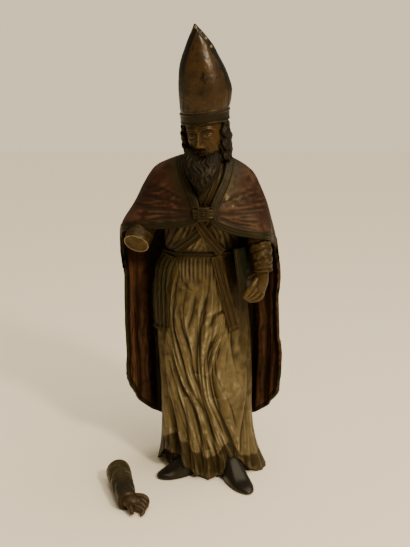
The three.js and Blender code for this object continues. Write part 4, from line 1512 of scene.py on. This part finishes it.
def build_stole():
    """The strips of the stole, with a fringe below each end."""
    flank = [(-58, BELT - 3), (-67, 365), (-72, 330), (-73, 300), (-71, 268)]
    strips = {
        "stole_cross": (STOLE_RED, [(-13, 452), (-2, 432), (11, 411), (24, BELT + 2)], 7.2, 6.6, 7),
        "stole_under": (STOLE_OLIVE, [(11, 452), (-6, 432), (-26, 414), (-46, BELT + 5)], 7.6, 4.8, 6),
        "stole_right_end": (STOLE_RED, [(17, BELT - 3), (25, 355), (35, 312), (45, 272)], 7.6, 4.6, 7),
        "stole_left_end": (STOLE_OLIVE, flank, 12.5, 4.0, 6),
        "stole_left_collar": (STOLE_OLIVE, [(-28, 538), (-25, 515), (-17, 488), (-10, 470)], 6.0, 3.4, 5),
        "stole_right_collar": (STOLE_RED, [(27, 538), (22, 515), (11, 488), (3, 470)], 6.5, 3.4, 5),
    }
    made = []
    for name, (material, path, half, lift, thick) in strips.items():
        samples, width, folds = (140, 61, 4) if name == "stole_left_end" else (90, 33, 2)
        grid = band_grid(path, half, lift, thick, samples, width, folds)
        strip = mesh_object(name, *closed_loft(grid), sharp=50)
        carved(strip, material, fine=2, broad=6, fine_height=0.15, broad_height=0.4)
        made.append(strip)
        if name.endswith("_end"):
            row = grid[-1][:width]
            fringe = grown(name + "_fringe", [row + [0, -0.6, 1.5]], HUNG_FRINGE, {
                "Spacing": 1.5 * MM,
                "Thread Length": 8.0 * MM,
                "Thread Radius": 0.75 * MM,
                "Seed": 4,
                "Finish": material,
            })
            mark_relief(fringe, fine=1, broad=2, fine_height=0.3, broad_height=0.5)
            made.append(fringe)
    return made


def build_belt():
    """A twisted cord round the waist."""
    lines, thick = [], []
    t = np.linspace(-98, 98, 260)
    z = BELT + 3 * (t / 95) ** 2
    x, y, out, _ = alb_form(t, z)
    strands = 3
    for strand in range(strands):
        phase = t * 0.42 + strand * 2 * math.pi / strands
        lift = 2.6 + 1.0 * np.cos(phase)
        lines.append(lifted(x, y, z + 1.1 * np.sin(phase), out, lift))
        thick.append(np.ones(len(t)))
    made = swept("belt", lines, thick, 1.2, 1.0, BELT_DARK)
    mark_relief(made, fine=1, broad=3, fine_height=0.3, broad_height=0.5)
    return made


def build_clasp():
    """A rectangular clasp with a raised frame, two bars and a boss, between two leather-like tabs."""
    columns, rows = 92, 70
    wide, tall, tab_end = 9.0, 10.4, 16.5
    front, behind = -77.6, -66
    u, v = np.meshgrid(np.linspace(-1, 1, columns), np.linspace(-1, 1, rows))
    x, z = u * tab_end, v * tall
    inside = np.minimum(wide - np.abs(x), tall - np.abs(z))
    panel = ease(2.4, 3.2, inside)
    out = 1.1 * ease(0, 0.8, inside) - 1.3 * panel
    out += 1.0 * ease(1.3, 0.8, np.abs(np.abs(z) - 3.6)) * panel
    out += 1.6 * np.sqrt(np.clip(1 - (x / 3.0) ** 2 - (z / 2.0) ** 2, 0, 1))
    strap = 0.45 * np.cos(z * 1.15) - 0.2 - 4.5 * ease(6.6, 8.2, np.abs(z))
    strap = strap - 2.0 * ease(15.2, 16.5, np.abs(x))
    out = mix(out, strap, ease(wide - 0.2, wide + 0.4, np.abs(x)))
    depths = (front - out + 0.012 * x**2, behind)
    skins = [stacked(x + CLASP_X, y, z + CLASP_Z).reshape(-1, 3) for y in depths]
    _, _, faces = shell_faces(rows, columns)
    made = mesh_object("clasp", np.concatenate(skins), [faces], sharp=45)
    return carved(made, CLASP_BROWN, fine=2, broad=8, fine_height=0.15, broad_height=0.5)


# Arms, hands and book
def sleeve_grid(path, radii, relief, around=96, lengthwise=110):
    """A sleeve along a path, with its carving given as a function of the way along and the angle round."""
    line, radius = smooth_path(path, lengthwise), graded(radii, lengthwise)
    way = unit(np.gradient(line, axis=0))
    across = unit(np.array([1.0, 0, 0]) - way * way[:, :1])
    third = np.cross(way, across)
    share, turn = along_and_round(lengthwise, around)
    r = radius[:, None] + relief(share, turn)
    out = np.cos(turn)[..., None] * across[:, None] + np.sin(turn)[..., None] * third[:, None]
    return line[:, None] + r[..., None] * out


def wrinkles(deep, count, lean=1.3, rough=0.5):
    """Wrinkles that run slantwise round a sleeve, meet and fade."""
    def relief(share, turn):
        spot = stacked(14 * np.cos(turn), 14 * np.sin(turn), 70 * share)
        stray = noise(spot, 15, 4)
        wave = share * count * 2 * math.pi + lean * np.cos(turn) + 0.7 * np.cos(2 * turn + 1) + 2.4 * stray
        folds = np.abs(np.sin(wave * 0.5)) ** 0.8 * 2 - 1
        fade = 0.55 + 0.9 * noise(spot, 19, 7)
        small = rough * noise(spot * (1, 1, 1.6), 5.5, 9)
        return (deep * folds * fade + small) * ease(0, 0.12, share) * ease(1, 0.93, share) + 0.4 * stray
    return relief


def build_left_arm():
    """The wrinkled left sleeve and its cuff with a lace edge."""
    path = [(84, -24, 440), (87, -34, 412), (90.5, -43, 388), (92, -46, 371)]
    grid = sleeve_grid(path, [15, 17.6, 17, 15.6], wrinkles(1.0, 5.5, 2.2, 1.1))
    sleeve = mesh_object("left_sleeve", *closed_loft(grid))
    carved(sleeve, SLEEVE_WORN, fine=3, broad=16, fine_height=0.2, broad_height=0.9)

    def cuff_relief(share, turn):
        lace = 0.25 * np.cos(turn * 24) * ease(0.4, 0.9, share)
        return 0.4 * bump(share, 0.14, 0.1) + 0.4 * bump(share, 0.86, 0.1) + lace
    path = [(91.4, -45.2, 376), (91.8, -45.6, 372), (92, -46, 367)]
    grid = sleeve_grid(path, [15.6, 16.0, 16.6], cuff_relief, 156, 30)
    cuff = mesh_object("left_cuff", *closed_loft(grid))
    carved(cuff, SLEEVE_WORN, fine=2, broad=10, fine_height=0.2, broad_height=0.6)
    return [sleeve, cuff]


def build_left_hand():
    """The left hand, its thumb outside the book and its fingers under it."""
    wrist = [(91.5, -46, 372), (90.5, -47, 362), (90, -48.5, 350), (89.5, -49, 338)]
    parts = [
        tube(wrist, [11.5, 12, 12, 9], sides=24, flat=0.74),
        ellipsoid((87, -50.5, 343), (11, 8, 16), turn=(8, 24, 0)),
        tube([(84, -46, 362), (76, -43, 358), (69, -42, 352)], [6, 5.2, 4], sides=16),
    ]
    first = np.array([(80, -55, 350), (71, -61.5, 339.5), (62.5, -64, 328)])
    last = np.array([(92.5, -47, 330), (84.5, -50, 320.5), (72, -53, 318.5)])
    for i in range(4):
        knuckle, middle, tip = mix(first, last, i / 3)
        back = mix(knuckle, np.array([90, -42, 366]), 0.7)
        parts.append(tube([back, knuckle, middle, tip], [4.4, 4.8, 4.5, 3.4], sides=18))
    made = fused("left_hand", parts, 0.75, 2)
    return carved(made, HAND_SKIN, fine=5, broad=24, fine_height=0.15, broad_height=0.7)


def bevelled(obj, width, segments=2):
    """The object with its edges rounded by a width in millimetres."""
    bevel = obj.modifiers.new("bevel", "BEVEL")
    bevel.width = width * MM
    bevel.segments = segments
    bevel.limit_method = "ANGLE"
    made = plain(obj)
    shade_smooth(made.data, sharp=40)
    return made


def box_part(low, high, place):
    """A box between two corners of a frame."""
    low, high = np.array(low, float), np.array(high, float)
    corner = np.array([(x, y, z) for z in (0, 1) for x, y in ((0, 0), (1, 0), (1, 1), (0, 1))])
    faces = np.array([[0, 3, 2, 1], [4, 5, 6, 7], [0, 1, 5, 4], [1, 2, 6, 5], [2, 3, 7, 6], [3, 0, 4, 7]])
    return carried(low + corner * (high - low), place), [faces]


def build_book():
    """A closed book with its spine to the figure, and its leaves between the covers."""
    tall, thick, deep, cover = 70, 11, 46, 1.6
    leaf_count, leaf_half, inset = 9, 0.42, 2.4
    place = placing((54, -58, 370), {"Z": -26, "Y": -8})
    half, top = thick / 2, tall / 2
    boards = [
        box_part((half - cover, 0, -top), (half, deep, top), place),
        box_part((-half, 0, -top), (-half + cover, deep, top), place),
        box_part((-half, deep - inset, -top), (half, deep, top), place),
    ]
    covers = bevelled(mesh_object("book_covers", *joined_parts(boards)), 0.6)
    carved(covers, BOOK_COVER, fine=1, broad=2)
    leaves = []
    for k in range(leaf_count):
        x = mix(-half + cover + 0.3, half - cover - 0.3, k / (leaf_count - 1))
        fore = 1.8 + 1.2 * bump(k, 4, 3)
        low = (x - leaf_half, fore, -top + inset)
        leaves.append(box_part(low, (x + leaf_half, deep - 1.5, top - inset), place))
    pages = bevelled(mesh_object("book_pages", *joined_parts(leaves)), 0.2, 1)
    carved(pages, PAGES, fine=1, broad=1)
    return [covers, pages]


def mark_rings(obj, centre):
    """Stores how far each point is from the heart of the broken limb, in metres."""
    float_attribute(obj, "ring", np.linalg.norm(read_points(obj.data) - centre, axis=1) * MM)


def build_stump():
    """The right sleeve, ending in the face where the forearm broke off."""
    start, stop = np.array([-94.0, -30, 448]), np.array([-107.0, -68, 415])
    radii = [ARM_R - 1, ARM_R - 0.5, ARM_R - 1]
    grid = sleeve_grid([start, 0.5 * (start + stop), stop], radii, wrinkles(0.6, 1.5), 96, 60)
    table = ((0.97, -0.4), (0.9, 0.0), (0.84, 0.7), (0.6, 1.0), (0.3, 0.7), (0.08, 0.5))
    rings = broken_end(grid[-1], unit(start - stop), table, 0.9, 0.5)
    made = mesh_object("right_stump", *closed_loft(np.concatenate([grid, rings])))
    sleeve, every, columns = len(grid), len(grid) + len(rings), grid.shape[1]
    painted_face, broken_face, pale_rim = range(3)
    kinds = np.full(len(made.data.polygons), painted_face)
    kinds[(sleeve + 1) * columns:] = broken_face
    kinds[(sleeve - 1) * columns:(sleeve + 1) * columns] = pale_rim
    kinds[(every - 1) * columns:every * columns] = painted_face
    carved(made, SLEEVE_WORN, BREAK, GESSO_RIM, kinds=kinds, fine=3, broad=10, broad_height=0.8)
    mark_rings(made, grid[-1].mean(0))
    return made


def build_loose_sleeve():
    """The sleeve of the broken-off forearm, flat where it lies on the floor."""
    far, cuff = np.array([-148.0, -62, 0]), np.array([-123.0, -146, 0])
    way = unit(cuff - far)
    across = np.array([-way[1], way[0], 0])
    flat = 0.93
    share, turn = along_and_round(120, 110)
    base = mix(ARM_R - 0.5, 15.5, share)
    relief = wrinkles(1.3, 2.4, 3.0, 0.6)(share, turn)
    lip = 0.2 * bump(share, 0.97, 0.02) - 0.3 * bump(share, 0.93, 0.015)
    r = base + relief * 0.9 + lip
    rise = np.maximum(-flat * base, r * np.cos(turn))
    along_way = share * LOOSE_ARM - 3 * (1 - share) * np.cos(turn)
    grid = far + along_way[..., None] * way + (r * np.sin(turn))[..., None] * across
    grid[..., 2] = flat * base + rise
    rings = broken_end(grid[0], way, ((0.08, 1.0), (0.4, 1.8), (0.75, 2.0), (0.92, 0.8)), 1.2, 0.6)
    made = mesh_object("loose_sleeve", *closed_loft(np.concatenate([rings, grid])))
    columns, total = grid.shape[1], len(made.data.polygons)
    painted_face, broken_face = range(2)
    kinds = np.full(total, painted_face)
    kinds[:len(rings) * columns] = broken_face
    kinds[total - 2 * columns:total - columns] = broken_face
    give(made, LOOSE_SLEEVE, BREAK, kinds=kinds)
    reach = (read_points(made.data) - far) @ way / LOOSE_ARM
    float_attribute(made, "second", 0.7 * ease(0.35, 0.75, reach))
    mark_relief(made, fine=3, broad=16, broad_height=0.8)
    mark_rings(made, grid[0].mean(0))
    return made


def build_loose_hand():
    """The hand of the broken-off forearm, bent at the wrist and half closed."""
    wrist = [(-124, -140, 16), (-117, -146, 16), (-108, -148, 15)]
    thumb = [(-122, -149, 14), (-118.5, -156, 12), (-115.5, -162, 9.5), (-113.5, -167, 7)]
    parts = [
        ellipsoid((-116, -147, 15.5), (15, 12, 10), turn=(0, 8, 10)),
        tube(wrist, [10.5, 10.5, 8], sides=22),
    ]
    for i in range(4):
        root = (-109, -139.5 - i * 5.6, 20.5 - i * 3)
        knuckle = (-98 - i * 1.2, -139.5 - i * 6.3, 19.5 - i * 2.8)
        bend = (-91.5 - i * 1.6, -142 - i * 6.6, 14 - i * 2.3)
        tip = (-92 - i * 2.4, -148 - i * 6.3, 6.2 - i * 0.6)
        parts.append(tube([root, knuckle, bend, tip], [4.8, 4.2, 3.7, 2.9], sides=16))
    parts.append(tube(thumb, [5.4, 4.8, 4.0, 3.0], sides=16))
    made = fused("loose_hand", parts, 0.8, 4)
    carved(made, LOOSE_SKIN, fine=5, broad=24, fine_height=0.15, broad_height=0.7)
    points, above_floor = read_points(made.data), 0.2
    points[:, 2] = np.maximum(points[:, 2], above_floor)
    write_points(made.data, points)
    return made


# Shoes
def build_shoe(name, heel, toe, high):
    """A pointed shoe with a thin sole and a seam."""
    heel, toe = np.array([*heel, 0.0]), np.array([*toe, 0.0])
    length = np.linalg.norm(toe - heel)
    way = (toe - heel) / length
    across = np.array([-way[1], way[0], 0])
    lengthwise, sideways, rise = np.moveaxis(unit_ball(88, 70, 120), -1, 0)
    share = np.clip(0.5 + lengthwise * 0.5, 0, 1)
    wide = mix(15, 19.5, ease(0, 0.62, share)) * (1 - 0.12 * ease(0.8, 1, share))
    top = mix(high, 15, ease(0.25, 0.8, share))
    edge = 4
    z = np.where(rise > 0, edge + rise * (top - edge), np.maximum(0.0, edge + rise * 9))
    side = np.sign(sideways) * np.abs(sideways) ** 0.8 * wide
    sole = 0.9 * bump(z, 2.2, 1.4)
    side = side * (1 + sole / 16 * (np.hypot(lengthwise, sideways) > 0.5))
    grid = heel + (share * length)[..., None] * way + side[..., None] * across
    grid[..., 2] = z
    made = mesh_object(name, *closed_loft(grid))
    return carved(made, SHOE, fine=3, broad=12, fine_height=0.2, broad_height=0.8)


figure_pieces = [
    build_alb(),
    build_cope(),
    build_head(),
    build_beard(),
    build_beard_locks(),
    build_hair(),
    build_mitre(),
    build_ornament(),
    *build_stole(),
    build_belt(),
    build_clasp(),
    *build_left_arm(),
    build_left_hand(),
    *build_book(),
    build_stump(),
    build_shoe("right_shoe", (-4, -14), (-82, -54), 48),
    build_shoe("left_shoe", (30, -16), (75, -106), 44),
]
for piece in figure_pieces:
    ride(piece)
for piece in (build_loose_sleeve(), build_loose_hand()):
    ride(piece, ("loose_right_forearm",))


# The floor, the light and the camera, in metres
FLOOR_HALF = 9.0
FLOOR_TONE, FLOOR_DULLNESS = (250, 237, 209), 0.85
AIR_TONE, AIR_STRENGTH = (226, 208, 178), 0.3
SEEN_TONE, SEEN_STRENGTH = (240, 220, 184), 1.22
KEY = {"place": (1.35, -1.8, 1.95), "aim": (0, 0, 0.35), "size": 0.4, "power": 58, "tint": (1.0, 0.87, 0.66)}
DAY = {"from": (0.35, -0.1, 1.0), "spread": 70, "power": 3.0, "tint": (1.0, 0.93, 0.82)}
CAMERA_AT = (0.0, -1.10, 0.62)
CAMERA_DOWN = 13.75
FOCAL_PIXELS, IMAGE_TALL, SENSOR_WIDE = 675.0, 547, 36.0


def build_floor():
    """A plain pale floor."""
    mesh = bpy.data.meshes.new("floor")
    s = FLOOR_HALF
    mesh.from_pydata([(-s, -s, 0), (s, -s, 0), (s, s, 0), (-s, s, 0)], [], [(0, 1, 2, 3)])
    floor = add_object("floor", mesh)
    material = bpy.data.materials.new("pale_floor")
    material.use_nodes = True
    shader = material.node_tree.nodes["Principled BSDF"]
    shader.inputs["Base Color"].default_value = srgb(*FLOOR_TONE)
    shader.inputs["Roughness"].default_value = FLOOR_DULLNESS
    floor.data.materials.append(material)


def build_air():
    """Dim air that lights the figure, and a brighter tone of it that only the camera sees."""
    world = bpy.data.worlds.new("studio")
    world.use_nodes = True
    tree = world.node_tree
    tree.nodes.clear()
    air = put(tree, "ShaderNodeBackground", {"Color": srgb(*AIR_TONE), "Strength": AIR_STRENGTH})
    seen = put(tree, "ShaderNodeBackground", {"Color": srgb(*SEEN_TONE), "Strength": SEEN_STRENGTH})
    ray = put(tree, "ShaderNodeLightPath").outputs["Is Camera Ray"]
    both = put(tree, "ShaderNodeMixShader", {0: ray, 1: air.outputs[0], 2: seen.outputs[0]})
    put(tree, "ShaderNodeOutputWorld", {"Surface": both.outputs[0]})
    bpy.context.scene.world = world


def build_lights():
    """A lamp from the front at the viewer's right, and soft daylight from above."""
    lamp = bpy.data.lights.new("key", "AREA")
    lamp.shape = "DISK"
    lamp.size = KEY["size"]
    lamp.energy = KEY["power"]
    lamp.color = KEY["tint"]
    key = add_object("key", lamp)
    key.location = KEY["place"]
    key.rotation_euler = (Vector(KEY["aim"]) - Vector(KEY["place"])).to_track_quat("-Z", "Y").to_euler()
    soft = bpy.data.lights.new("soft_day", "SUN")
    soft.angle = DAY["spread"] * DEGREE
    soft.energy = DAY["power"]
    soft.color = DAY["tint"]
    day = add_object("soft_day", soft)
    day.rotation_euler = Vector(DAY["from"]).to_track_quat("Z", "Y").to_euler()


def build_camera():
    """The photograph's own view."""
    camera = bpy.data.cameras.new("camera")
    camera.sensor_width = SENSOR_WIDE
    camera.lens = FOCAL_PIXELS / IMAGE_TALL * SENSOR_WIDE
    made = add_object("camera", camera)
    made.location = CAMERA_AT
    made.rotation_euler = ((90 - CAMERA_DOWN) * DEGREE, 0, 0)
    bpy.context.scene.camera = made


build_floor()
build_air()
build_lights()
build_camera()
